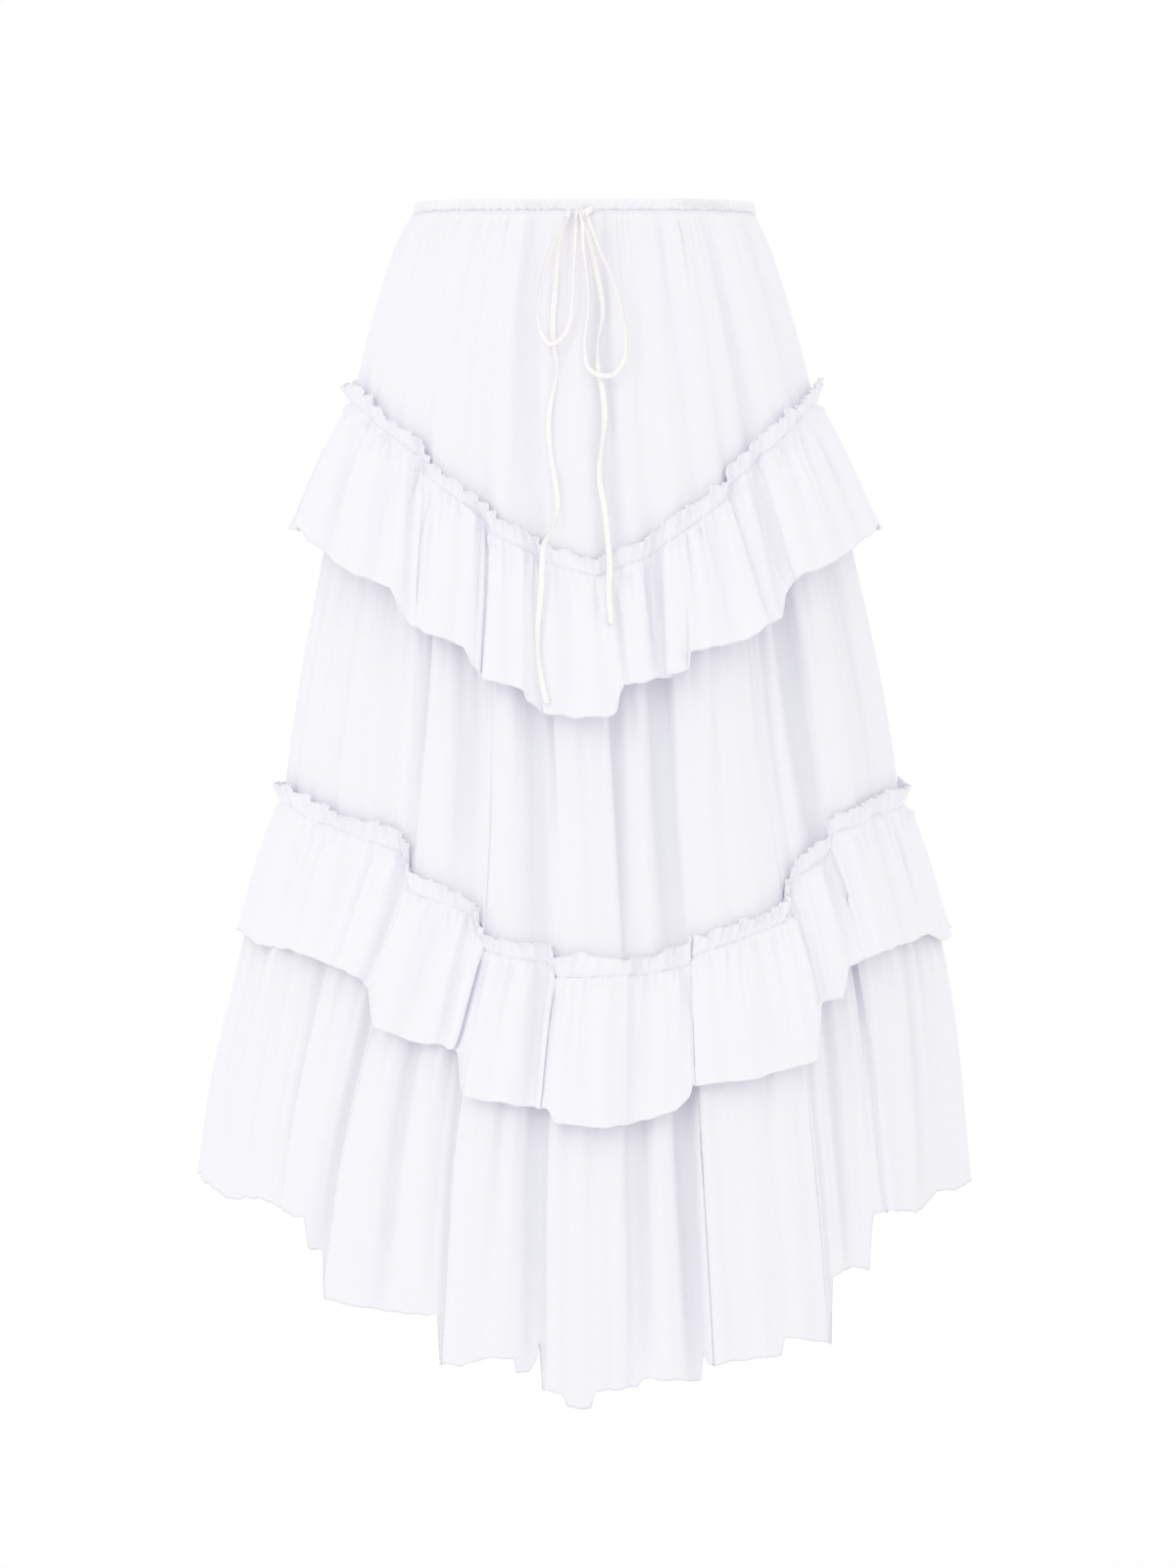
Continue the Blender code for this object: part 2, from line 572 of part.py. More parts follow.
def tie(name, route, finish, beneath):
    """A flat ribbon along its route, laid on the pieces beneath it.

    The curve is drawn in the plane of its object, which is turned to face the front.
    """
    across, drop, twist, off = (
        np.interp(
            np.linspace(0, len(route) - 1, round(TIE_STEPS * (len(route) - 1)) + 1),
            np.arange(TIE_FINE * (len(route) - 1) + 1) / TIE_FINE,
            curve_through(np.array(column, float), TIE_FINE),
        )
        for column in zip(*route)
    )
    foremost = front_finder(beneath)
    y = np.array([foremost(a * MM, -d * MM) for a, d in zip(across, drop)])
    y -= np.abs(np.sin(np.radians(twist))) * TIE_WIDTH / 2 + TIE_WALL / 2 + TIE_CLEARANCE
    for _ in range(30):  # it bridges the hollows
        y[1:-1] = np.minimum(y[1:-1], (y[:-2] + y[2:]) / 2)
    data = bpy.data.curves.new(name, "CURVE")
    data.dimensions = "3D"
    data.twist_mode = "Z_UP"
    data.extrude = (TIE_WIDTH - TIE_WALL) / 2
    data.bevel_depth = TIE_WALL / 2
    data.bevel_resolution = 0
    data.use_fill_caps = True
    spline = data.splines.new("POLY")
    spline.points.add(len(across) - 1)
    for point, a, d, forward, turn in zip(spline.points, across, drop, y - off * MM, twist):
        point.co = (a * MM, -d * MM, -forward, 1)
        point.tilt = math.radians(90 + turn)
    data.materials.append(finish)
    made = bpy.data.objects.new(name, data)
    made.rotation_euler = (math.pi / 2, 0, 0)
    bpy.data.collections["tiered_ruffle_skirt"].objects.link(made)


def knot(finish):
    """The bow's knot: a cube with well rounded edges."""
    across, drop = KNOT_CENTRE
    front = front_finder(["upper_front", "waist_casing"])(across, -drop)
    bpy.ops.mesh.primitive_cube_add(size=1, location=(across, front - KNOT_OFF, -drop))
    made = bpy.context.object
    made.name = "tie_knot"
    made.scale = KNOT_SIZE
    bpy.ops.object.transform_apply(location=False, rotation=False, scale=True)
    rounding = made.modifiers.new("rounding", "BEVEL")
    rounding.width = 2.4 * MM
    rounding.segments = 2
    made.data.materials.append(finish)
    for collection in list(made.users_collection):
        collection.objects.unlink(made)
    bpy.data.collections["tiered_ruffle_skirt"].objects.link(made)


# ---- the skirt ---------------------------------------------------------------------------------------------

def main():
    for old in list(bpy.data.objects):
        bpy.data.objects.remove(old)
    skirt = bpy.data.collections.new("tiered_ruffle_skirt")
    bpy.context.scene.collection.children.link(skirt)
    cotton = material("cotton_voile", COTTON, 0.85)
    cream = material("cotton_tie", TIE_CREAM, 0.7)

    casing(cotton)
    cloth_pair("upper", tier_rows(UPPER_ROWS, CASING_HEIGHT, FIRST_SEAM), cotton)
    cloth_pair("middle", tier_rows(MIDDLE_ROWS, FIRST_SEAM, SECOND_SEAM), cotton)
    cloth_pair("lower", tier_rows(LOWER_ROWS, SECOND_SEAM, HEM, to_hem=True), cotton)
    upper_ruffle = ruffle_rows(UPPER_RUFFLE, UPPER_EASING, FIRST_SEAM, MIDDLE_ROWS, SECOND_SEAM)
    cloth_pair("ruffle_upper", upper_ruffle, cotton)
    lower_ruffle = ruffle_rows(LOWER_RUFFLE, LOWER_EASING, SECOND_SEAM, LOWER_ROWS, HEM, to_hem=True)
    cloth_pair("ruffle_lower", lower_ruffle, cotton)

    cloth = ["waist_casing", "upper_front", "ruffle_upper_front", "middle_front"]
    knot(cream)
    tie("tie_tail_left", TAIL_LEFT, cream, cloth)
    tie("tie_tail_right", TAIL_RIGHT, cream, cloth)
    tie("tie_loop_left", LOOP_LEFT, cream, cloth + ["tie_tail_left"])
    tie("tie_loop_right", LOOP_RIGHT, cream, cloth + ["tie_tail_right"])


main()
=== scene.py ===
"""The finish of a long tiered skirt of white cotton voile, with headed ruffles and a bowed ribbon at its waist.

Every piece of cloth is drawn through the rows of its solid, all round the skirt, and then gets the pleats,
gathers and edges that the solid is too plain for. Lengths are metres, +Z is up and the front faces -Y.
"""

import math
from collections import namedtuple

import bmesh
import bpy
import numpy as np
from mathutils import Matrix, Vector
from mathutils.bvhtree import BVHTree


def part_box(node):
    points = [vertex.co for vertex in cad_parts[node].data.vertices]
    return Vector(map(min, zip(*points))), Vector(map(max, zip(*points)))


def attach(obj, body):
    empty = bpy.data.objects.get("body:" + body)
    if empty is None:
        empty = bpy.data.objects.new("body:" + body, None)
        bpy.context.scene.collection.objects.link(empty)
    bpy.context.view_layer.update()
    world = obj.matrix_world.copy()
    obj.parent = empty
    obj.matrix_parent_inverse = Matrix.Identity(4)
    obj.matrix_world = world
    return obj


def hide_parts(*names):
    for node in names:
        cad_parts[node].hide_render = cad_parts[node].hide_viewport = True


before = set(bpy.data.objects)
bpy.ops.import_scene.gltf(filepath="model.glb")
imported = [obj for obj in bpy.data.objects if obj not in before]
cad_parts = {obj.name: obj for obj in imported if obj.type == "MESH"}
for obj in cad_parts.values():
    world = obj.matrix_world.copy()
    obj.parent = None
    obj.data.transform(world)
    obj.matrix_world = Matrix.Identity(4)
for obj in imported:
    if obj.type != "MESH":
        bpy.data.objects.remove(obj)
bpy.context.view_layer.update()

bl_info = {
    "name": "Tiered ruffle skirt",
    "version": (1, 0, 0),
    "blender": (4, 5, 0),
    "location": "3D View > Sidebar > Skirt",
    "description": "Dresses the solids of a tiered skirt in gathered cotton voile",
    "category": "Object",
}

MM = 0.001


def hex_colour(code):
    """A colour written as six hexadecimal digits of sRGB, as linear red, green and blue."""
    parts = [int(code[i : i + 2], 16) / 255 for i in (0, 2, 4)]
    return tuple(c / 12.92 if c <= 0.04045 else ((c + 0.055) / 1.055) ** 2.4 for c in parts)


# ---- sizes and colours that a user would change ----


def tint(name, description, code):
    """A colour that a user can change."""
    return bpy.props.FloatVectorProperty(
        name=name, description=description, subtype="COLOR", size=3, min=0, max=1, default=hex_colour(code)
    )


def number(name, description, default, low, high, **kind):
    """A number that a user can change between two limits."""
    return bpy.props.FloatProperty(name=name, description=description, default=default, min=low, max=high, **kind)


def length(name, description, *values):
    """A length that a user can change between two limits."""
    return number(name, description, *values, unit="LENGTH")


class SkirtCloth(bpy.types.PropertyGroup):
    # The valley colours are painted shade: the cloth greys towards them in the valleys between its folds.
    voile: tint("Ruffles", "Colour of the ruffles' voile, with the tier's cloth behind it", "F4F3F8")
    voile_valley_shade: tint("Ruffles' valleys", "Colour of the ruffles' voile between its folds", "ECEBF1")
    single: tint("Tiers", "Colour of the single layer of the tiers where it lies in folds", "F3F2F7")
    single_valley_shade: tint("Tiers' valleys", "Colour of the tiers' voile between its folds", "E9E9EF")
    thickness: length("Cloth", "Thickness of the voile", 0.5 * MM, 0.2 * MM, 1.2 * MM)
    rolled_edge: length("Rolled edge", "Thickness of a ruffle's and the hem's rolled edge", 1.5 * MM, 0.5 * MM, 3 * MM)
    fullness: number("Fullness", "Depth of the pleats and gathers against the real ones", 1, 0, 1.5, subtype="FACTOR")


class SkirtTie(bpy.types.PropertyGroup):
    cream: tint("Ribbon", "Colour of the ribbon", "FBF9F9")
    width: length("Ribbon width", "Width of the ribbon", 5.0 * MM, 3 * MM, 8 * MM)
    thickness: length("Ribbon thickness", "Thickness of the ribbon", 0.9 * MM, 0.4 * MM, 2 * MM)


class SkirtStage(bpy.types.PropertyGroup):
    floor: tint("Floor", "Colour of the floor", "FCFCFC")
    floor_drop: length("Floor", "How far the floor lies below the waist", 1.25, 0.95, 2)
    daylight: number("Daylight", "Strength of the light from all round", 1, 0, 3)
    key: number("Key light", "Strength of the soft light from the left", 1, 0, 10)


# ---- the cloth's shape ----

WALL = 1.5 * MM  # the solids' wall
DISTANCE, EYE = 5.0, -0.40  # how far in front of the skirt it is looked at from, and how high
RISE = 4.7 * MM  # how much higher the front is seen from there than it lies
DIP = 4 * MM  # how far the front of the waist dips
SEEN = 0.6144  # half the height that the picture takes in at the skirt
MIDDLE, ASIDE = -0.46, 0.0023  # how high the picture's middle lies there, and how far right of the waist's
ROUND = 8  # columns repeated past either end, so that the cloth closes all round
DENSE = 40  # how many places are measured to each column


def totals(steps):
    """The running totals of steps, from 0."""
    return np.concatenate([np.zeros_like(steps[:1]), np.cumsum(steps, axis=0)])


def steps_of(points, axis=0):
    """The length of each step from one point to the next."""
    return np.linalg.norm(np.diff(points, axis=axis), axis=-1)


def wrapped(grid):
    """A closed ring's grid with one more column past either end."""
    return np.concatenate([grid[:, -2:-1], grid, grid[:, 1:2]], axis=1)


def smooth_through(values, knots, at):
    """The values, along their first axis, of a smooth curve through values at knots."""
    values, knots = np.asarray(values, float), np.asarray(knots, float)
    slopes = np.gradient(values, knots, axis=0)
    i = np.clip(np.searchsorted(knots, at, side="right") - 1, 0, len(knots) - 2)
    shape = (-1,) + (1,) * (values.ndim - 1)
    width = (knots[i + 1] - knots[i]).reshape(shape)
    t = ((at - knots[i]) / (knots[i + 1] - knots[i])).reshape(shape)
    rise = values[i + 1] - values[i]
    a, b = slopes[i] * width - rise, rise - slopes[i + 1] * width
    return values[i] + t * rise + t * (1 - t) * (a * (1 - t) + b * t)


def hills(turn, count, down, seed):
    """A smooth uneven surface between about -1 and 1, with count hills in one turn and one to a unit down."""
    across = np.asarray(turn) * count
    across, down = np.broadcast_arrays(across, down)
    i, j = np.floor(across).astype(int), np.floor(down).astype(int)
    heights = np.random.default_rng(seed).uniform(-1, 1, (count, 64))
    weights = []
    for t in (across - i, down - j):
        weights.append([(1 - t) ** 3 / 6, (3 * t**3 - 6 * t**2 + 4) / 6,
                        (-3 * t**3 + 3 * t**2 + 3 * t + 1) / 6, t**3 / 6])
    made = 0
    for m in range(4):
        for n in range(4):
            made = made + weights[0][m] * weights[1][n] * heights[(i + m) % count, (j + n) % 64]
    return 2.0 * made


def folds(turn, count, down, seed, wander=1.0, crest=0.7):
    """Uneven upright folds from -1 to 1, count of them in one turn, with broad crests and narrow valleys."""
    part = max(count // 3, 3)
    phase = 2 * np.pi * count * np.asarray(turn)
    phase = phase + wander * 2.4 * hills(turn, part, down, seed)
    wave = (0.5 + 0.5 * np.cos(phase)) ** crest
    return (2 * wave - 1) * (0.75 + 0.35 * hills(turn, max(count // 4, 3), down + 7.3, seed + 1))


def rim_edges(mesh):
    """The short edges across the wall's thickness, all round the rim of a solid's cloth."""
    found = []
    for edge in mesh.edges:
        step = edge.verts[1].co - edge.verts[0].co
        if abs(step.z) > 3e-6 or abs(step.length - WALL) > 0.04 * MM:
            continue
        step.normalize()
        if all(max(abs(face.normal.dot(step)) for face in v.link_faces) > 0.7 for v in edge.verts):
            found.append(edge)
    return found


def solid_rows(name):
    """The rows of points of a cloth solid's outer face, from its top edge down."""
    mesh = bmesh.new()
    mesh.from_mesh(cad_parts[name].data)
    bmesh.ops.remove_doubles(mesh, verts=mesh.verts, dist=1e-6)
    mesh.normal_update()
    rim = {face for edge in rim_edges(mesh) for face in edge.link_faces}
    bmesh.ops.delete(mesh, geom=list(rim), context="FACES_ONLY")
    beside = {v: [e.other_vert(v) for e in v.link_edges if e.link_faces] for v in mesh.verts}
    sheets, seen = [], set()
    for vertex in mesh.verts:
        if beside[vertex] and vertex not in seen:
            sheet = [vertex]
            seen.add(vertex)
            for here in sheet:
                fresh = [other for other in beside[here] if other not in seen]
                sheet += fresh
                seen.update(fresh)
            sheets.append(sheet)
    if len(sheets) != 2:
        raise RuntimeError(f"{name}: its wall has {len(sheets)} faces, and not an outer and an inner one")
    outer = max(sheets, key=lambda sheet: np.mean([v.co.xy.length for v in sheet]))
    on_rim = {v: [e.other_vert(v) for e in v.link_edges if len(e.link_faces) == 1] for v in outer}
    start = next(v for v in outer if on_rim[v])
    loop, before = [start], None
    while True:
        after = next(v for v in on_rim[loop[-1]] if v is not before)
        if after is start:
            break
        before = loop[-1]
        loop.append(after)
    down = next(r for r in range(2, 12) if len(outer) == (r + 1) * (len(loop) // 2 - r + 1))
    across = len(loop) // 2 - down
    size = len(loop)
    corner = max(range(size), key=lambda i: sum(
        abs((loop[(i - k - off) % size].co - loop[(i - k - 1 - off) % size].co).normalized().z)
        for off in (0, size // 2) for k in range(down)
    ))
    loop = loop[corner:] + loop[:corner]
    rows, left = [loop[: across + 1]], [loop[-k] for k in range(down + 1)]
    used = set(rows[0]) | set(left)
    for k in range(down):
        row = [left[k + 1]]
        for c in range(across):
            near = set(beside[row[-1]]) & set(beside[rows[-1][c + 1]])
            after = [v for v in near if v not in used and v not in rows[-1]]
            if len(after) != 1:
                raise RuntimeError(f"{name}: its rows can't be followed at row {k + 1}, column {c + 1}")
            used.add(after[0])
            row.append(after[0])
        rows.append(row)
    points = np.array([[v.co[:] for v in row] for row in rows])
    mesh.free()
    if points[0, :, 2].mean() < points[-1, :, 2].mean():
        points = points[::-1]
    if (points[:, 0, 0].mean() > 0) == ("front" in name):
        points = points[:, ::-1]
    return points


def ring_of(name):
    """The rows of a tier or ruffle all round, from the left side over the front, with the first one last too."""
    front, back = solid_rows(name + "_front"), solid_rows(name + "_back")
    left = (front[:, :1] + back[:, -1:]) / 2
    right = (front[:, -1:] + back[:, :1]) / 2
    return np.concatenate([left, front[:, 1:-1], right, back[:, 1:-1], left], axis=1)


# How valleys are drawn up: the number of sectors in a turn and how many of them each side of a point are searched
# for its crests, whether the lower shoulder counts, the depth that stays as it is, and the most that is left.
EASINGS = ((240, 7, False, 4 * MM, 11 * MM), (1440, 6, True, 0.8 * MM, 3.2 * MM))


def shallower(points):
    """The rows of a closed ring, with the valleys between the folds drawn up towards their crests: wide ones a
    little, and narrow slits nearly level with their lower shoulder."""
    made = points.copy()
    for row in made:
        for sectors, reach, shoulder, kept, most in EASINGS:
            x, y = row[:, 0], row[:, 1]
            half_width, half_depth = np.abs(x).max(), np.abs(y).max()
            size = np.hypot(x / half_width, y / half_depth)
            sector = (np.arctan2(x / half_width, -y / half_depth) / (2 * np.pi) % 1) * sectors
            crest = np.zeros(sectors)
            np.maximum.at(crest, sector.astype(int) % sectors, size)
            filled = np.flatnonzero(crest)
            crest = np.interp(np.arange(sectors), filled, crest[filled], period=sectors)
            near = range(-reach, reach + 1)
            crest = np.max([np.roll(crest, k) for k in near], axis=0)
            if shoulder:
                crest = np.min([np.roll(crest, k) for k in near], axis=0)
            for _ in range(4 if shoulder else 12):
                crest = (np.roll(crest, 1) + 2 * crest + np.roll(crest, -1)) / 4
            crest = np.interp(sector - 0.5, np.arange(sectors), crest, period=sectors)
            to_metres = np.hypot(x, y) / size
            depth = (crest - size) * to_metres
            over = np.maximum(depth - kept, 0)
            eased = np.minimum(depth, kept) + (most - kept) * (1 - np.exp(-over / (most - kept)))
            row[:, :2] *= ((crest * to_metres - eased) / (size * to_metres))[:, None]
        row[:, :2] = unlapped(row[:, :2])
    return made


def unlapped(row):
    """A closed row of points across and back, whose folds end in a steep step where they lapped over each other."""
    half_width, half_depth = np.abs(row).max(axis=0)
    x, y = row[:, 0] / half_width, row[:, 1] / half_depth
    angle = np.unwrap(np.arctan2(x, -y))
    more = len(row) // 8
    longer = np.concatenate([angle[-more - 1 : -1] - 2 * np.pi, angle, angle[1 : more + 1] + 2 * np.pi])
    ahead = np.maximum.accumulate(longer)
    behind = np.minimum.accumulate(longer[::-1])[::-1]
    angle = ((ahead + behind) / 2)[more:-more]
    size = np.hypot(x, y)
    return np.stack([half_width * size * np.sin(angle), -half_depth * size * np.cos(angle)], -1)


def spaced(length, count, close_to, reach):
    """Distances from 0 to length, closer together near the given ones."""
    fine = np.linspace(0, length, 2000)
    weight = np.ones_like(fine) + sum(5 * np.exp(-np.abs(fine - c) / reach) for c in close_to)
    total = totals((weight[1:] + weight[:-1]) / 2)
    return np.interp(np.linspace(0, total[-1], count), total, fine)


def evenly(points, middle, half_across):
    """How far along a closed ring each column lies, and places spaced evenly over its front and over its back."""
    along = totals(steps_of(points, axis=1).mean(axis=0))
    front = np.linspace(0, along[middle], half_across + 1)
    back = np.linspace(along[middle], along[-1], half_across + 1)
    return along, np.concatenate([front, back[1:]])


Ring = namedtuple("Ring", "points turn down length around")


def fine_ring(name, half_across, levels, softness, close_to=(), reach=6 * MM):
    """The cloth drawn smoothly through its solid's rows, with folds rounded over a softness: points, each column's
    share of the turn, each point's distance below the top edge, the length of each column, and that round."""
    rows = ring_of(name)
    count = rows.shape[1] - 1
    around = np.concatenate([rows[:, -ROUND - 1 : -1], rows, rows[:, 1 : ROUND + 1]], axis=1)
    index = np.arange(around.shape[1]) - ROUND
    knots = [totals(np.sqrt(step)) for step in steps_of(around, axis=1)]

    def drawn(at):
        return np.array([smooth_through(row, knot, np.interp(at, index, knot)) for row, knot in zip(around, knots)])

    dense = np.linspace(0, count, DENSE * count + 1)
    along, even = evenly(drawn(dense), DENSE // 2 * count, half_across)
    across = drawn(np.interp(even, along, dense))
    level = totals(steps_of(across).mean(axis=1))
    close_to = [level[c] if isinstance(c, int) else c for c in close_to]
    points = shallower(smooth_through(across, level, spaced(level[-1], levels, close_to, reach)))
    for _ in range(round(2 * (softness * 2 * half_across / along[-1]) ** 2)):
        wide = wrapped(points)[..., :2]
        points[..., :2] = (wide[:, :-2] + 2 * wide[:, 1:-1] + wide[:, 2:]) / 4
    for _ in range(8):
        points[1:-1, :, :2] = (points[:-2, :, :2] + 2 * points[1:-1, :, :2] + points[2:, :, :2]) / 4
    along, even = evenly(points, half_across, half_across)
    points = np.array([[np.interp(even, along, row[:, k]) for k in range(3)] for row in points]).transpose(0, 2, 1)
    down = totals(steps_of(points))
    return Ring(points, even / even[-1], down, down[-1], along[-1]), level


def outward(points, rounds=1):
    """The direction out of the cloth at each point of a closed ring, evened out in rounds."""
    normal = np.cross(np.gradient(points, axis=0), np.gradient(wrapped(points), axis=1)[:, 1:-1])
    normal /= np.linalg.norm(normal, axis=2, keepdims=True) + 1e-12
    for _ in range(rounds):
        wide = wrapped(normal)
        normal = wide[:, :-2] + 2 * wide[:, 1:-1] + wide[:, 2:]
        normal /= np.linalg.norm(normal, axis=2, keepdims=True) + 1e-12
    return normal


def fold_height(points, around):
    """Where each point of a closed ring lies in its fold, from 0 in a valley to 1 on a crest."""
    waves = np.fft.rfft(points[:, :-1], axis=1)
    count = np.arange(waves.shape[1])[None, :, None]
    even = np.fft.irfft(waves * np.exp(-2 * (np.pi * count * 20 * MM / around) ** 2), points.shape[1] - 1, axis=1)
    even = np.concatenate([even, even[:, :1]], axis=1)
    proud = ((points - even) * outward(even, 0)).sum(axis=2)
    return np.clip(0.5 + proud / (7 * MM), 0, 1)


def pleated(ring, sets, seed, fullness):
    """How far the cloth is pushed out by its sets of pleats, in metres."""
    made = 0
    up = ring.length - ring.down
    for k, (width, depth, stays, fades, foot, foot_fades) in enumerate(sets):
        count = max(round(ring.around / (width * MM)), 6)
        reach = fades * MM * np.exp(0.6 * hills(ring.turn, max(count // 2, 4), 0, seed + k + 5))
        fade = stays + (1 - stays) * np.exp(-ring.down / reach)
        fade = fade + foot * np.exp(-up / (foot_fades * MM))
        down = ring.down / (9 * width * MM)
        made = made + depth * MM * fade * folds(ring.turn, count, down, seed + 10 * k)
    return made * fullness


def trough(side, ridge):
    """A crease across, 1 deep in its middle, with a soft ridge of a given height beside it."""
    return ridge * np.exp(-(((side - 2.2) / 1.8) ** 2)) - np.exp(-(side**2))


def creased(ring, creases):
    """How far the cloth is pushed in by creases placed on its front, in metres, beside a soft ridge each."""
    middle = (ring.points.shape[1] - 1) // 2
    half_down = ring.points[ring.points.shape[0] // 2, : middle + 1]
    row = half_down[:, 0] * DISTANCE / (DISTANCE + half_down[:, 1])
    made = 0
    for x, top, reach, depth, width in creases:
        turn = np.interp(x * MM, np.maximum.accumulate(row), ring.turn[: middle + 1])
        side = ((ring.turn - turn + 0.5) % 1 - 0.5) * ring.around / (width * MM)
        start = (ring.down - top * MM) / (width * 2 * MM)
        end = (ring.down - (top + reach) * MM) / (reach * 0.16 * MM)
        shown = 1 / (1 + np.exp(-start)) / (1 + np.exp(end))
        made = made + depth * MM * shown * trough(side, 0.45)
    return made


def gathered(ring, every, reach, depth, width, seed):
    """How far the cloth is pushed in by narrow creases that start at the seam, all round, in metres."""
    draw = np.random.default_rng(seed)
    count = round(ring.around / (every * MM))
    made = 0
    for k in range(count):
        turn = (k + draw.uniform(0.1, 0.9)) / count
        off = (ring.turn - turn + 0.5) % 1 - 0.5
        lean = draw.uniform(-0.12, 0.12) * ring.down
        side = (off * ring.around + lean) / (width * draw.uniform(0.7, 1.6) * MM) * draw.choice((-1, 1))
        shown = np.exp(-((ring.down / (reach * draw.uniform(0.25, 1.2) * MM)) ** 2))
        made = made + depth * draw.uniform(0.3, 1) * MM * shown * trough(side, 0.5)
    return made


def faces_outward(data):
    """Turns a closed mesh's faces outwards and shades it smooth."""
    mesh = bmesh.new()
    mesh.from_mesh(data)
    bmesh.ops.recalc_face_normals(mesh, faces=mesh.faces)
    mesh.to_mesh(data)
    mesh.free()
    data.shade_smooth()


def mesh_of(name, points, faces, turned=True):
    """A mesh of points and faces, turned outwards if need be, and the point at each corner of its faces."""
    data = bpy.data.meshes.new(name)
    data.from_pydata(points.reshape(-1, 3).tolist(), [], faces)
    if turned:
        faces_outward(data)
    loops = np.empty(len(data.loops), int)
    data.loops.foreach_get("vertex_index", loops)
    return data, loops


def piece_of(data, uvs, finish, height=None):
    """A mesh's object, with cloth coordinates at each corner and the height in its fold at each point, which
    sets the shade painted into its colour.
    """
    data.uv_layers.new(name="cloth").data.foreach_set("uv", uvs.astype(np.float32).ravel())
    if height is not None:
        data.attributes.new("fold", "FLOAT", "POINT").data.foreach_set("value", height.astype(np.float32).ravel())
    data.materials.append(finish)
    data.update()
    made = bpy.data.objects.new(data.name, data)
    bpy.context.scene.collection.objects.link(made)
    return made


def shell(name, points, normal, thickness, uvs, height, finish):
    """A closed thin wall round a grid of points, with the thickness of each point and its height in its fold."""
    rows, columns = points.shape[:2]
    half = normal * thickness[..., None] / 2
    index = np.arange(rows * columns).reshape(rows, columns)
    through = rows * columns  # from a point's number to that of the one behind it
    a, b, c, d = index[:-1, :-1], index[1:, :-1], index[1:, 1:], index[:-1, 1:]
    sides = [np.stack([a, b, c, d], -1).reshape(-1, 4), np.stack([d, c, b, a], -1).reshape(-1, 4) + through]
    edges = index[0], index[-1, ::-1], index[::-1, 0], index[:, -1]
    rim = [np.stack([edge[:-1], edge[1:], edge[1:] + through, edge[:-1] + through], -1) for edge in edges]
    faces = np.concatenate(sides + rim)
    data, loops = mesh_of(name, np.concatenate([points + half, points - half]), faces.tolist(), turned=False)
    smooth = np.ones(len(faces), bool)
    smooth[len(sides[0]) * 2 :] = False
    data.polygons.foreach_set("use_smooth", smooth)
    return piece_of(data, np.concatenate([uvs.reshape(-1, 2)] * 2)[loops], finish, np.concatenate([height] * 2))


def dress(name, ring, points, thickness, finish):
    """The front and the back of a tier or ruffle, each in place of its solid."""
    uvs = np.stack(np.broadcast_arrays(ring.turn * ring.around, -ring.down), -1)
    middle = (points.shape[1] - 1) // 2
    reach = 50 * MM  # how far from its top and bottom edges the painted valley shade is weaker
    shade_eased_near_edges = 0.5 * np.exp(-(ring.length - ring.down) / reach) + 0.4 * np.exp(-ring.down / reach)
    # painted shade: 1 keeps the crest colour, and less greys the cloth towards its valley colour in its folds' valleys
    height = 1 - VALLEY_SHADE.get(name, 1) * (1 - shade_eased_near_edges) * (1 - fold_height(points, ring.around))
    grids = points, outward(points, 0), thickness, uvs, height
    for side, part in (("front", slice(0, middle + 1)), ("back", slice(middle, None))):
        piece = shell(f"{name}_{side}_voile", *(grid[:, part] for grid in grids), finish)
        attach(piece, "root")
        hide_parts(f"{name}_{side}")


# ---- materials ----


def new_material(name):
    """A material with its node tree and its shader."""
    made = bpy.data.materials.new(name)
    made.use_nodes = True
    return made, made.node_tree, made.node_tree.nodes["Principled BSDF"]


def feed(tree, taker, inputs):
    """Sets or links a node's inputs by name or number."""
    for key, value in inputs.items():
        if isinstance(value, bpy.types.NodeSocket):
            tree.links.new(value, taker.inputs[key])
        else:
            taker.inputs[key].default_value = value


def node(tree, kind, inputs, out=0, **settings):
    """One output of a new shader node with its inputs and settings."""
    made = tree.nodes.new("ShaderNode" + kind)
    for key, value in settings.items():
        setattr(made, key, value)
    feed(tree, made, inputs)
    return made.outputs[out]


def ramp(tree, share, low, high, interpolation="LINEAR"):
    """A colour between two, each given after the share at which it lies."""
    made = node(tree, "ValToRGB", {0: share}).node
    made.color_ramp.interpolation = interpolation
    for stop, (position, colour) in zip(made.color_ramp.elements, (low, high)):
        stop.position, stop.color = position, (*colour, 1)
    return made.outputs[0]


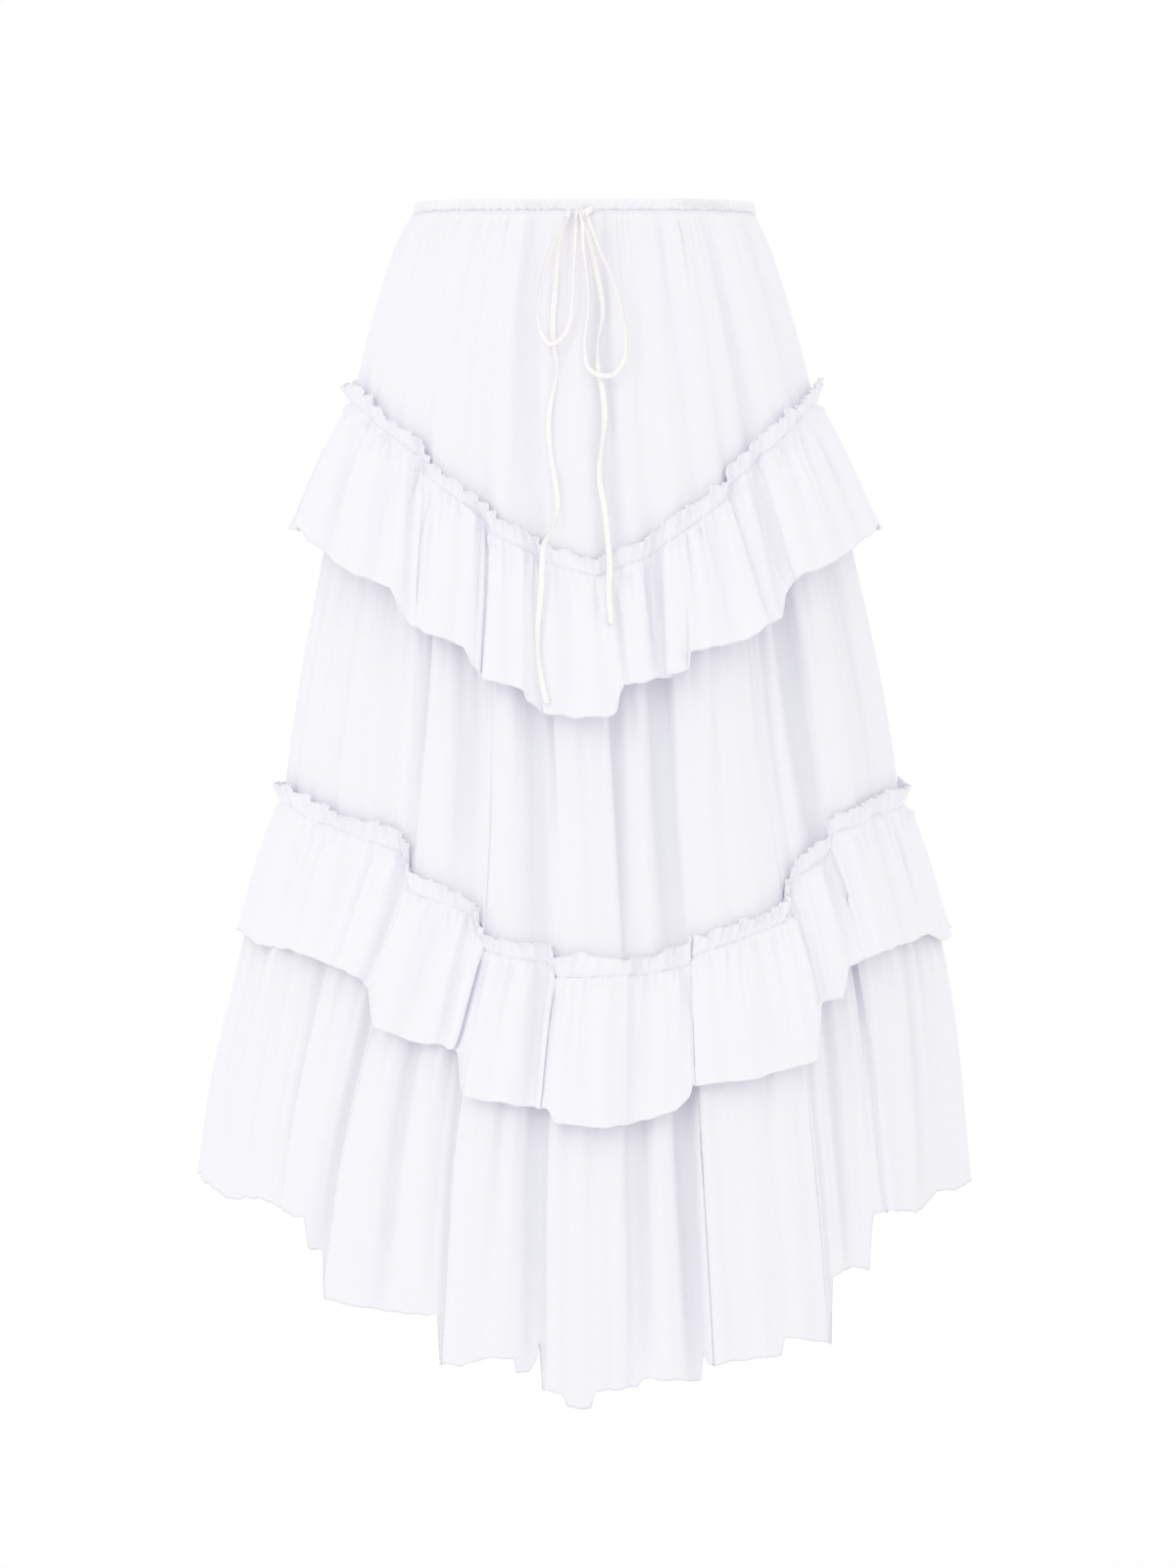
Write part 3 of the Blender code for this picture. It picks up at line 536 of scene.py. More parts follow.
def cotton_voile(name, colour, valley, crinkle):
    """Fine plain-woven cotton: a matt white with the faint cross lines of its threads and slubs, greyer in the
    valleys between its folds, where shade is painted into its colour, a crinkle that runs down the cloth, and
    the soft bloom of its fibres at grazing angles."""
    made, tree, shader = new_material(name)
    uv = node(tree, "UVMap", {}, uv_map="cloth")
    # warp and weft threads, 0.55 mm apart
    threads = {"Vector": uv, "Scale": 290, "Distortion": 0.6, "Detail": 1}
    warp, weft = (node(tree, "TexWave", threads, "Fac", bands_direction=way) for way in "XY")
    weave = node(tree, "Math", {0: warp, 1: weft}, operation="MULTIPLY")
    # slubs: thicker threads, long down the warp
    along = node(tree, "Mapping", {"Vector": uv, "Scale": (900, 45, 1)})
    slub = node(tree, "TexNoise", {"Vector": along, "Scale": 1, "Detail": 2}, "Fac")
    # the crinkle of washed cotton, about 9 mm wide and drawn out down the cloth
    down = node(tree, "Mapping", {"Vector": uv, "Scale": (110, 17, 1)})
    washed = {"Vector": down, "Scale": 1, "Detail": 2.5, "Roughness": 0.5, "Distortion": 0.9}
    creases = node(tree, "TexNoise", washed, "Fac")
    cloudy = node(tree, "TexNoise", {"Vector": uv, "Scale": 38, "Detail": 3}, "Fac")
    tone = node(tree, "Mix", {0: 0.5, 2: slub, 3: cloudy})
    # Painted shade: each point's fold height, read from its fold attribute, plus a random tone, picks the colour
    # between the valley's and the crest's.
    painted_fold_shade = node(tree, "Attribute", {}, "Fac", attribute_name="fold")
    painted_fold_shade = node(tree, "Math", {0: tone, 1: 0.45, 2: painted_fold_shade}, operation="MULTIPLY_ADD")
    shade = ramp(tree, painted_fold_shade, (0.25, valley), (0.95, colour), "EASE")
    fine = node(tree, "Bump", {"Height": weave, "Strength": 0.25, "Distance": 0.08 * MM})
    bump = node(tree, "Bump", {"Height": creases, "Strength": 0.45, "Distance": crinkle, "Normal": fine})
    rough = node(tree, "MapRange", {0: slub, 3: 0.78, 4: 0.92})
    feed(tree, shader, {"Base Color": shade, "Roughness": rough, "Normal": bump, "Sheen Weight": 0.12,
                        "Sheen Roughness": 0.5, "Specular IOR Level": 0.25})
    return made


def cotton_ribbon(colour):
    """A narrow ribbon of unbleached cotton: cream, with fine ribs across it and painted shade darkening its edges."""
    made, tree, shader = new_material("cream_cotton_ribbon")
    uv = node(tree, "UVMap", {}, uv_map="cloth")
    woven = {"Vector": uv, "Scale": 330, "Distortion": 0.8, "Detail": 1}
    ribs = node(tree, "TexWave", woven, "Fac", bands_direction="Y")
    worn = node(tree, "TexNoise", {"Vector": uv, "Scale": 260, "Detail": 3}, "Fac")
    # Painted shade: the colour darkens towards both edges of the ribbon, with the noise's random tone added
    # everywhere.
    across = node(tree, "SeparateXYZ", {0: uv})
    off = node(tree, "Math", {0: across}, operation="ABSOLUTE")
    edge = node(tree, "MapRange", {0: off, 1: 1.7 * MM, 2: 2.5 * MM, 3: 0.0, 4: 0.7})
    edge = node(tree, "Math", {0: worn, 1: 0.4, 2: edge}, operation="MULTIPLY_ADD")
    # the colour of the painted edge shade
    darker = (colour[0] * 0.80, colour[1] * 0.80, colour[2] * 0.75)
    bump = node(tree, "Bump", {"Height": ribs, "Strength": 0.4, "Distance": 0.1 * MM})
    feed(tree, shader, {"Base Color": ramp(tree, edge, (0.15, colour), (1, darker)), "Normal": bump,
                        "Roughness": 0.7, "Sheen Weight": 0.1, "Specular IOR Level": 0.3})
    return made


def finish_of(name):
    """The cloth's or the ribbon's material, made the first time that it is asked for."""
    found = bpy.data.materials.get(name)
    if found:
        return found
    cloth, tie = bpy.context.scene.skirt_cloth, bpy.context.scene.skirt_tie
    if name == "white_cotton_voile":
        return cotton_voile(name, tuple(cloth.voile), tuple(cloth.voile_valley_shade), 0.7 * MM)
    if name == "single_cotton_voile":
        return cotton_voile(name, tuple(cloth.single), tuple(cloth.single_valley_shade), 1.0 * MM)
    return cotton_ribbon(tuple(tie.cream))


# ---- pieces ----

# The sets of pleats: how wide one is and how deep, the share of its depth that stays far from the seams, how far
# below the top edge the rest fades, the share that comes back at the bottom edge, and how far above it that fades.
# Lengths are in millimetres.
PLEATS = {
    "upper": [
        (6.5, 1.1, 0.03, 28, 0.3, 8), (13, 1.1, 0.25, 80, 0.3, 12),
        (27, 1.0, 0.8, 120, 0, 10), (56, 2.0, 0.9, 200, 0, 10),
    ],
    "middle": [
        (7, 0.9, 0.05, 25, 0.7, 9), (14, 1.0, 0.30, 90, 0.3, 14),
        (29, 1.1, 0.85, 120, 0, 10), (60, 2.0, 0.9, 200, 0, 10),
    ],
    "lower": [
        (8, 1.0, 0.05, 60, 0, 9), (16, 1.6, 0.30, 140, 0, 14),
        (34, 1.6, 0.75, 160, 0.2, 60), (70, 2.8, 0.9, 200, 0.3, 60),
    ],
    "ruffle_upper": [
        (8, 1.3, 0.02, 14, 0, 8), (15, 2.0, 0.12, 34, 0, 12),
        (29, 3.3, 0.6, 60, 0.4, 30), (62, 3.8, 0.9, 100, 0, 10),
    ],
    "ruffle_lower": [
        (8, 1.2, 0.02, 14, 0, 8), (15, 2.0, 0.14, 34, 0, 12),
        (29, 3.3, 0.6, 60, 0.4, 30), (62, 3.6, 0.9, 100, 0, 10),
    ],
}
VALLEY_SHADE = {"upper": 0.6, "lower": 0.9}  # how strongly shade is painted into the valleys of each cloth, where it isn't 1
PLEAT_SEEDS = {"upper": 11, "middle": 211, "lower": 411, "ruffle_upper": 611, "ruffle_lower": 811}

# The long creases of the front: across from the centre, where one starts below its seam and how far it runs,
# its depth and half its width, in millimetres.
FRONT_CREASES = {
    "upper": [
        (-150, 30, 150, 1.6, 7), (-120, 12, 200, 2.4, 6), (-82, 25, 230, 2.0, 6),
        (-44, 5, 220, 2.4, 7), (-14, 40, 160, 1.6, 5), (14, 70, 210, 3.4, 5),
        (38, 8, 160, 1.6, 5), (70, 4, 190, 2.4, 5), (111, 10, 240, 3.2, 9),
        (140, 20, 170, 2.0, 7),
    ],
    "ruffle_upper": [
        (-190, 18, 50, 2.0, 3), (-145, 20, 90, 2.4, 4), (-120, 6, 40, 1.8, 2.4),
        (-92, 6, 46, 2.0, 2.2), (-82, 8, 90, 3.4, 2.4), (-40, 5, 50, 2.0, 2.6),
        (24, 16, 110, 3.4, 3), (49, 6, 50, 2.4, 2.4), (59, 10, 60, 2.0, 2.2),
        (82, 8, 100, 2.2, 2.6), (106, 10, 60, 1.8, 2.6), (137, 20, 60, 1.6, 3),
        (150, 8, 36, 2.2, 2.2), (160, 30, 80, 2.2, 4), (190, 12, 50, 1.8, 3),
    ],
    "middle": [
        (-149, 0, 330, 2.4, 8), (-96, 0, 330, 5.0, 9), (-66, 60, 160, 1.2, 3),
        (-40, 20, 220, 1.8, 4), (-24, 80, 130, 2.2, 4), (0, 60, 200, 1.2, 5),
        (25, 0, 330, 6.0, 6), (60, 0, 330, 3.6, 9), (85, 60, 220, 1.6, 3),
        (103, 60, 180, 1.3, 3), (142, 0, 330, 3.0, 4), (164, 0, 330, 5.0, 15),
        (205, 60, 220, 1.6, 6), (-205, 60, 220, 1.4, 7),
    ],
    "lower": [
        (-270, 20, 250, 1.8, 6), (-226, 0, 340, 3.5, 6), (-188, 60, 240, 1.6, 6),
        (-150, 0, 340, 2.8, 10), (-108, 0, 340, 6.0, 6), (-70, 80, 160, 1.8, 5),
        (-33, 0, 340, 4.5, 6), (9, 0, 300, 2.0, 8), (46, 80, 200, 1.4, 6),
        (82, 0, 340, 8.0, 10), (120, 80, 200, 1.6, 5), (152, 0, 340, 2.8, 5),
        (198, 0, 340, 4.5, 9), (225, 0, 340, 3.0, 5), (272, 0, 340, 2.4, 6),
    ],
    "ruffle_lower": [
        (-232, 10, 60, 1.6, 4), (-205, 5, 80, 2.0, 4), (-170, 5, 110, 3.6, 2.8),
        (-96, 0, 120, 2.2, 3.0), (-60, 4, 50, 1.6, 2.4), (-33, 4, 110, 1.8, 3.0),
        (-8, 6, 60, 1.5, 2.4), (27, 0, 30, 2.5, 2.6), (84, 2, 115, 4.4, 3.0),
        (121, 4, 50, 1.8, 2.4), (177, 8, 100, 3.0, 3.0), (203, 4, 110, 4.0, 2.8),
        (244, 6, 60, 1.8, 3.0),
    ],
}
# The narrow creases that gathering makes all round: how far apart, how long, how deep and half their width.
GATHERS = {
    "upper": (17, 60, 1.7, 2.0), "middle": (26, 130, 2.0, 3.0), "lower": (22, 130, 2.8, 3.0),
    "ruffle_upper": (12, 42, 2.3, 1.9), "ruffle_lower": (12, 42, 2.3, 1.9),
}


def folded(name, ring, cloth):
    """How far the pleats, creases and gathers of a tier or ruffle push its cloth out, in metres."""
    seed = PLEAT_SEEDS[name]
    push = pleated(ring, PLEATS[name], seed, cloth.fullness) + creased(ring, FRONT_CREASES[name])
    return push + gathered(ring, *GATHERS[name], seed + 50)


def scalloped(ring, points, depth, seed):
    """The points with the bottom edge cut unevenly: small scallops in a slow uneven line."""
    up = ring.length - ring.down
    small, middling, slow = (round(ring.around / (each * MM)) for each in (6.5, 19, 60))
    drop = 0.7 * hills(ring.turn, small, 0, seed) * np.exp(-up / (4 * MM))
    drop = drop + 0.4 * folds(ring.turn, middling, 0, seed + 3, 2.6, 1.0) * np.exp(-up / (12 * MM))
    drop = depth * (drop + 1.3 * hills(ring.turn, slow, 0, seed + 5) * np.exp(-up / (30 * MM)))
    made = points.copy()
    made[..., 2] -= drop
    return made


# The front of each bottom edge as it is seen: across from the centre and below the waist, in millimetres.
BOTTOM_EDGES = {
    "lower": [
        (-297, 775), (-278, 784), (-255, 784), (-228, 799), (-220, 801), (-219, 806), (-217, 824), (-206, 825),
        (-205, 827), (-204, 863), (-175, 871), (-144, 876), (-116, 878), (-115, 880), (-114, 916), (-98, 919),
        (-75, 911), (-55, 911), (-54, 923), (-44, 923), (-38, 913), (-35, 895), (-34, 935), (-17, 940), (-14, 949),
        (5, 950), (8, 937), (41, 932), (45, 926), (91, 928), (92, 906), (98, 917), (125, 912), (154, 909), (156, 895),
        (193, 897), (194, 844), (210, 836), (224, 840), (225, 796), (229, 794), (263, 794), (275, 779), (297, 778),
    ],
    "ruffle_upper": [
        (-228, 260), (-204, 279), (-190, 292), (-169, 299), (-153, 306), (-147, 319), (-137, 334), (-123, 340),
        (-104, 346), (-95, 351), (-88, 366), (-79, 375), (-61, 380), (-48, 384), (-45, 393), (-33, 402), (-8, 407),
        (17, 407), (25, 403), (27, 388), (31, 382), (47, 381), (67, 376), (81, 371), (82, 358), (117, 351),
        (137, 343), (142, 336), (155, 331), (157, 314), (163, 303), (172, 296), (187, 292), (207, 281), (220, 268),
    ],
    "ruffle_lower": [
        (-266, 584), (-232, 589), (-197, 602), (-174, 614), (-170, 620), (-167, 650), (-136, 661), (-101, 667),
        (-99, 670), (-97, 704), (-75, 707), (-29, 713), (-24, 724), (18, 729), (48, 723), (71, 717), (82, 707),
        (84, 698), (133, 694), (181, 677), (183, 673), (185, 630), (203, 627), (207, 602), (232, 590), (252, 583),
        (281, 571),
    ],
}


def let_down(name, ring, points):
    """The points with the front of the bottom edge brought to the one in the table."""
    edge = BOTTOM_EDGES[name]
    up = ring.length - ring.down
    nearer = DISTANCE / (DISTANCE + points[-1, :, 1])
    x = points[-1, :, 0] * nearer / MM
    wanted = EYE + (RISE - np.interp(x, *np.transpose(edge)) * MM - EYE) / nearer
    fade, reach = 12, 35 * MM  # how far inside the table's ends it sets in, and how far up the cloth it goes
    shown = np.clip((x - edge[0][0]) / fade, 0, 1) * np.clip((edge[-1][0] - x) / fade, 0, 1)
    made = points.copy()
    made[..., 2] += shown * (points[-1, :, 1] < 0) * (wanted - points[-1, :, 2]) * np.exp(-up / reach)
    return made


def edge_thickness(up, plain, rolled):
    """The cloth's thickness at a distance above its rolled edge."""
    return plain + (rolled - plain) * np.exp(-((up / (1.3 * MM)) ** 2))


class SKIRT_OT_tiers(bpy.types.Operator):
    """The three tiers, front and back"""

    bl_idname = "skirt.tiers"
    bl_label = "Tiers"

    def execute(self, context):
        cloth = context.scene.skirt_cloth
        finish = finish_of("single_cotton_voile")
        # the last number is how far below a tier's top edge its folds take to get deep
        for name, half_across, levels, softness, close_to, deepens in (
            ("upper", 330, 34, 4 * MM, [0.0], 5 * MM),
            ("middle", 440, 32, 8 * MM, [], 20 * MM),
            ("lower", 540, 38, 7 * MM, [-1], 20 * MM),
        ):
            ring, _ = fine_ring(name, half_across, levels, softness, close_to, 16 * MM)
            up = ring.length - ring.down
            push = folded(name, ring, cloth) * (1 - np.exp(-ring.down / deepens))
            if name != "lower":
                push = push * (1 - np.exp(-up / (14 * MM)))
            points = ring.points + outward(ring.points, 12) * push[..., None]
            rolled = cloth.thickness
            if name == "upper":
                front = np.maximum(-points[0, :, 1] / np.abs(points[0, :, 1]).max(), 0)
                points[..., 2] -= DIP * front**2 * np.exp(-ring.down / 0.05)
                points[0, :, 2] += 2.5 * MM
            elif name == "lower":
                points = scalloped(ring, let_down(name, ring, points), 1.4 * MM, PLEAT_SEEDS[name] + 90)
                rolled = cloth.rolled_edge
            dress(name, ring, points, edge_thickness(up, cloth.thickness, rolled), finish)
        return {"FINISHED"}


class SKIRT_OT_ruffles(bpy.types.Operator):
    """The two ruffles with their headings, front and back"""

    bl_idname = "skirt.ruffles"
    bl_label = "Ruffles"

    def execute(self, context):
        cloth = context.scene.skirt_cloth
        finish = finish_of("white_cotton_voile")
        for name, half_across in (("ruffle_upper", 640), ("ruffle_lower", 820)):
            ring, level = fine_ring(name, half_across, 44, 3 * MM, [0, 1, -1], 7 * MM)
            seed = PLEAT_SEEDS[name]
            stitch = level[1]
            below = np.maximum(ring.down - stitch, 0)
            above = np.maximum(stitch - ring.down, 0)
            push = folded(name, ring._replace(down=below), cloth)
            push = np.maximum(push, -1.0 * MM - 0.07 * below) * (1 - np.exp(-below / 0.003))
            fine, wide, stitches, waves, bumps = (round(ring.around / (each * MM)) for each in (9.5, 15, 6.2, 17, 6))
            heading = folds(ring.turn, fine, ring.down * 30, seed + 70, 2.6, 0.85)
            heading = heading + 1.2 * folds(ring.turn, wide, ring.down * 20, seed + 80, 2.4)
            heading = np.maximum(2.4 * cloth.fullness * heading - 1.1, -2.1)
            push = push + heading * MM * np.minimum(above / stitch, 1) ** 0.6
            pucker = folds(ring.turn, stitches, 0, seed + 60, 2.4, 1.0)
            at_stitch = np.exp(-(((ring.down - stitch) / (1.3 * MM)) ** 2))
            puff = np.exp(-(((ring.down - stitch - 6 * MM) / (4.5 * MM)) ** 2))
            push = push + (at_stitch * (0.4 * pucker - 1.7) + puff * (1.2 + 0.9 * pucker)) * MM
            points = ring.points + outward(ring.points, 12) * push[..., None]
            points = scalloped(ring, let_down(name, ring, points), 1.3 * MM, seed + 90)
            uneven = hills(ring.turn, waves, 0, seed + 95) + 0.8 * hills(ring.turn, bumps, 0, seed + 96)
            points[..., 2] += 2.8 * MM * uneven * np.minimum(above / stitch, 1) ** 2
            up = np.minimum(ring.length - ring.down, ring.down * 1.4)
            dress(name, ring, points, edge_thickness(up, cloth.thickness, cloth.rolled_edge), finish)
        return {"FINISHED"}


class SKIRT_OT_waistband(bpy.types.Operator):
    """The elastic casing, ruched all round"""

    bl_idname = "skirt.waistband"
    bl_label = "Waistband"

    def execute(self, context):
        low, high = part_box("waist_casing")
        middle_x, middle_y = (low.x + high.x) / 2, (low.y + high.y) / 2
        inset = 3.3 * MM  # from the casing's outer face to the middle of its wall
        half_width, half_depth = (high.x - low.x) / 2 - inset, (high.y - low.y) / 2 - inset
        height = high.z - low.z
        columns, sides = 760, 18
        turn = np.arange(columns) / columns
        angle = 2 * np.pi * turn + np.pi
        out_x, out_y = half_depth * np.sin(angle), -half_width * np.cos(angle)
        size = np.hypot(out_x, out_y)
        out_x, out_y = out_x / size, out_y / size
        around = 2 * np.pi * math.sqrt((half_width**2 + half_depth**2) / 2)
        fine, wide, stitches, bumps = (round(around / (each * MM)) for each in (5.6, 13, 7.5, 9))
        rows = []
        for side in range(sides):
            t = 2 * np.pi * side / sides
            out, up = math.copysign(abs(math.cos(t)) ** 0.55, math.cos(t)), math.sin(t)
            share = 0.5 - 0.5 * up
            ruche = folds(turn, fine, share * 1.5, 31, 2.0, 0.8) + 0.6 * folds(turn, wide, share * 0.8, 41, 1.8)
            stitch = math.exp(-(((up + 0.9) / 0.13) ** 2)) if out > 0 else 0
            pucker = folds(turn, stitches, 0, 36, 1.6, 1.0)
            proud = 2.0 * MM * out + 0.5 * MM * ruche * max(out + 0.5, 0)
            proud = proud - stitch * (0.9 - pucker) * MM
            lift = 0.45 * MM * hills(turn, bumps, 0, 51) * max(up, 0)
            z = (low.z + high.z) / 2 + (height / 2 - 0.4 * MM) * up * (1 - 0.08 * out * out) + lift
            z = z - DIP * np.maximum(np.cos(angle), 0) ** 2
            rows.append(np.stack([
                middle_x + half_width * np.sin(angle) + proud * out_x,
                middle_y - half_depth * np.cos(angle) + proud * out_y,
                z,
            ], -1))
        points = np.array(rows)
        index = np.arange(sides * columns).reshape(sides, columns)
        below, after = np.roll(index, -1, axis=0), np.roll(index, -1, axis=1)
        faces = np.stack([index, after, np.roll(below, -1, axis=1), below], -1).reshape(-1, 4)
        data, loops = mesh_of("waist_casing_voile", points, faces.tolist())
        column, side, face = loops % columns, loops // columns, np.arange(len(loops)) // 4
        column = column + columns * ((face % columns == columns - 1) & (column == 0))
        side = side + sides * ((face // columns == sides - 1) & (side == 0))
        uvs = np.stack([column * around / columns, side * height * 2 / sides], -1)
        piece = piece_of(data, uvs, finish_of("white_cotton_voile"), np.full(columns * sides, 0.8))
        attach(piece, "root")
        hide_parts("waist_casing")
        return {"FINISHED"}


# The ribbon's four lengths. Each point is across from the centre and down from the waist, in millimetres,
# with the turn of the ribbon about its own length in degrees.
TAIL_LEFT = [
    (-14.5, 20, 60), (-20, 42, 40), (-22.5, 72, 10), (-24.5, 113, 0), (-21.7, 142, 50), (-25.4, 159, 20),
    (-28, 182, 0), (-26, 204, 30), (-22.4, 225, 0), (-21, 244, 20), (-25.4, 260, 60), (-31, 273, 30),
    (-32.4, 290, 0), (-33, 305, 0), (-35, 327, 10), (-35.8, 350, 50), (-33, 374, 20), (-28.3, 393, 0),
]
TAIL_RIGHT = [
    (0.5, 23, -30), (5, 44, -20), (9.5, 66, 0), (13.5, 96, 40), (9.4, 118, 70), (10.2, 138, 30),
    (13.5, 155, 0), (15, 176, 10), (12.7, 195, 50), (11, 220, 20), (15, 246, 0), (17.2, 268, 10),
    (18.7, 286, 0), (18.2, 309, 0), (19.7, 333, 20),
]
LOOP_LEFT = [
    (-13, 21, 60), (-25.5, 44, 50), (-33, 70, 60), (-36, 92, 50), (-33.5, 110, 20), (-26.5, 119, 0),
    (-17.5, 114, 0), (-11.5, 102, 30), (-9.5, 84, 60), (-8.3, 62, 60), (-7.6, 42, 50), (-7.2, 23, 40),
]
LOOP_RIGHT = [
    (2.2, 21, -50), (10.5, 44, -50), (20.5, 67, -50), (28, 92, -60), (31, 114, -50), (29, 133, -20),
    (22, 142, 0), (12, 143, 0), (3, 138, 20), (0, 122, 50), (1.6, 101, 60), (2.8, 84, 60), (1.2, 62, 60),
    (-1.2, 42, 50), (-1.8, 24, 40),
]


def cloth_tree(names):
    """A search tree over the faces of finished pieces."""
    corners, faces = [], []
    for name in names:
        data = bpy.data.objects[name].data
        first = len(corners)
        corners += [v.co.copy() for v in data.vertices]
        faces += [[first + i for i in face.vertices] for face in data.polygons]
    return BVHTree.FromPolygons(corners, faces)


def swept(path, twist, width, thickness):
    """The points, faces and cloth coordinates of a flat ribbon along a path, with its turn at each point."""
    at = totals(steps_of(path))
    along = np.gradient(path, axis=0)
    along /= np.linalg.norm(along, axis=1, keepdims=True)
    across = np.cross(along, [0, -1, 0])
    across /= np.linalg.norm(across, axis=1, keepdims=True)
    face = np.cross(across, along)
    twist = twist[:, None]
    side = across * np.cos(twist) + face * np.sin(twist)
    face = face * np.cos(twist) - across * np.sin(twist)
    count, sides = len(path), 12
    t = 2 * np.pi * np.arange(sides) / sides
    flat = np.sign(np.cos(t)) * np.abs(np.cos(t)) ** 0.6 * width / 2
    thick = np.sin(t) * thickness / 2
    crease = 0.25 * MM * np.sin(at / (7 * MM) + 2 * np.sin(at / (23 * MM)))
    curl = (flat / (width / 2)) ** 2
    points = (
        path[:, None]
        + side[:, None] * flat[None, :, None]
        + face[:, None] * (thick[None, :] + crease[:, None] * curl[None, :])[..., None]
    )
    index = np.arange(count * sides).reshape(count, sides)
    after = np.roll(index, -1, axis=1)
    faces = np.stack([index[:-1], index[1:], after[1:], after[:-1]], -1).reshape(-1, 4).tolist()
    faces += [index[0].tolist(), index[-1, ::-1].tolist()]
    uvs = np.stack(np.broadcast_arrays(flat[None, :] * 5 * MM / width, at[:, None]), -1).reshape(-1, 2)
    return points.reshape(-1, 3), faces, uvs


def ribbon_piece(name, node_name, parts):
    """One piece of the tie, made of swept parts, in place of its solid."""
    points, uvs = (np.concatenate([part[k] for part in parts]) for k in (0, 2))
    starts = totals([len(part[0]) for part in parts])
    faces = [[int(start) + i for i in face] for part, start in zip(parts, starts) for face in part[1]]
    data, loops = mesh_of(name, points, faces)
    made = piece_of(data, uvs[loops], finish_of("cream_cotton_ribbon"))
    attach(made, "root")
    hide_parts(node_name)
    return made


def ribbon(name, node_name, route, beneath, width, thickness):
    """One length of ribbon along its solid's route, clear of the finished cloth behind it."""
    values = np.array(route, float) * np.array([MM, -MM, math.radians(1)])
    knots = totals(steps_of(values[:, :2]))
    count = max(round(knots[-1] / (2.2 * MM)), 20)
    at = np.linspace(0, knots[-1], count)
    x, z, twist = smooth_through(values, knots, at).T
    solid = np.array([v.co[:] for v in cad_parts[node_name].data.vertices])
    y = []
    for px, pz in zip(x, z):
        near = np.argsort((solid[:, 0] - px) ** 2 + (solid[:, 2] - pz) ** 2)[:10]
        y.append(solid[near, 1].mean())
    y = np.array(y)
    for _ in range(4):
        y[1:-1] = (y[:-2] + 2 * y[1:-1] + y[2:]) / 4
    edge = np.abs(np.sin(twist)) * width / 2 + thickness / 2 + 0.3 * MM
    for k, (px, pz) in enumerate(zip(x, z)):
        hits = [beneath.ray_cast(Vector((px + dx, -1, pz)), Vector((0, 1, 0)))[0] for dx in (-2 * MM, 0, 2 * MM)]
        hits = [hit.y for hit in hits if hit]
        if hits:
            y[k] = min(y[k], min(hits) - edge[k])
    for _ in range(6):
        y[1:-1] = np.minimum(y[1:-1], (y[:-2] + y[2:]) / 2)
    path = np.stack([x, y, z], -1)
    return ribbon_piece(name, node_name, [swept(path, twist, width, thickness)]), path


class SKIRT_OT_tie(bpy.types.Operator):
    """The ribbon: its knot, two loops and two free tails"""

    bl_idname = "skirt.tie"
    bl_label = "Ribbon tie"

    def execute(self, context):
        tie = context.scene.skirt_tie
        cloth = cloth_tree(["upper_front_voile", "ruffle_upper_front_voile", "waist_casing_voile"])
        cords, parts = [], []
        for name, route, far_end, width, roots in (
            ("tie_tail_left", TAIL_LEFT, "bare", tie.width, [-12.8]),
            ("tie_tail_right", TAIL_RIGHT, "bare", tie.width, [-2.2]),
            ("tie_loop_left", LOOP_LEFT, "object", 0.78 * tie.width, [-11.6, -6.4]),
            ("tie_loop_right", LOOP_RIGHT, "object", 0.84 * tie.width, [0.8, -4.2]),
        ):
            piece, path = ribbon(name + "_ribbon", name, route, cloth, width, tie.thickness)
            cords.append((name, piece, path, far_end))
            for end, root in zip((path[0], path[-1]), roots):
                parts.append(self.strand(end, root, cloth, tie))
        parts.append(self.wrap(cloth, tie))
        knot = ribbon_piece("tie_knot_ribbon", "tie_knot", parts)
        return {"FINISHED"}

    def face_of(self, cloth, x, z):
        """The cloth's front face at a place across and up, in metres."""
        return cloth.ray_cast(Vector((x, -1, z)), Vector((0, 1, 0)))[0].y

    def strand(self, end, root, cloth, tie):
        """A strand of the knot, from a ribbon's end up to where it comes out from under the casing."""
        x, top, mouth = root * MM, -12 * MM, -16 * MM
        between = ((end[0] + x) / 2, (end[2] + mouth) / 2)
        near = min(self.face_of(cloth, *between) - 1.4 * MM, (end[1] + self.face_of(cloth, x, mouth)) / 2)
        marks = np.array([
            (end[0], end[1], end[2] - 1.0 * MM), (between[0], near, between[1]),
            (x, self.face_of(cloth, x, mouth) - 1.0 * MM, mouth), (x, self.face_of(cloth, x, top) + 2.0 * MM, top),
        ])
        path = smooth_through(marks, np.arange(4), np.linspace(0, 3, 14))
        turn = np.radians(np.linspace(50, 25, 14)) * (1 if root < -3 else -1)
        return swept(path, turn, 0.7 * tie.width, 1.2 * tie.thickness)

    def wrap(self, cloth, tie):
        """The short turn of ribbon that holds the strands on the right together."""
        # across from the centre, below the waist and in front of the cloth, in millimetres
        turn = [(-4.6, 18.5, 0.6), (-2.4, 17.2, 2.6), (1.2, 15.2, 3.2), (4.2, 13.4, 2.4), (5.6, 12.4, 0.2)]
        marks = [(x * MM, self.face_of(cloth, x * MM, -drop * MM) - proud * MM, -drop * MM) for x, drop, proud in turn]
        path = smooth_through(marks, np.arange(5), np.linspace(0, 4, 18))
        return swept(path, np.radians(np.linspace(25, -20, 18)), 1.1 * tie.width, 1.5 * tie.thickness)


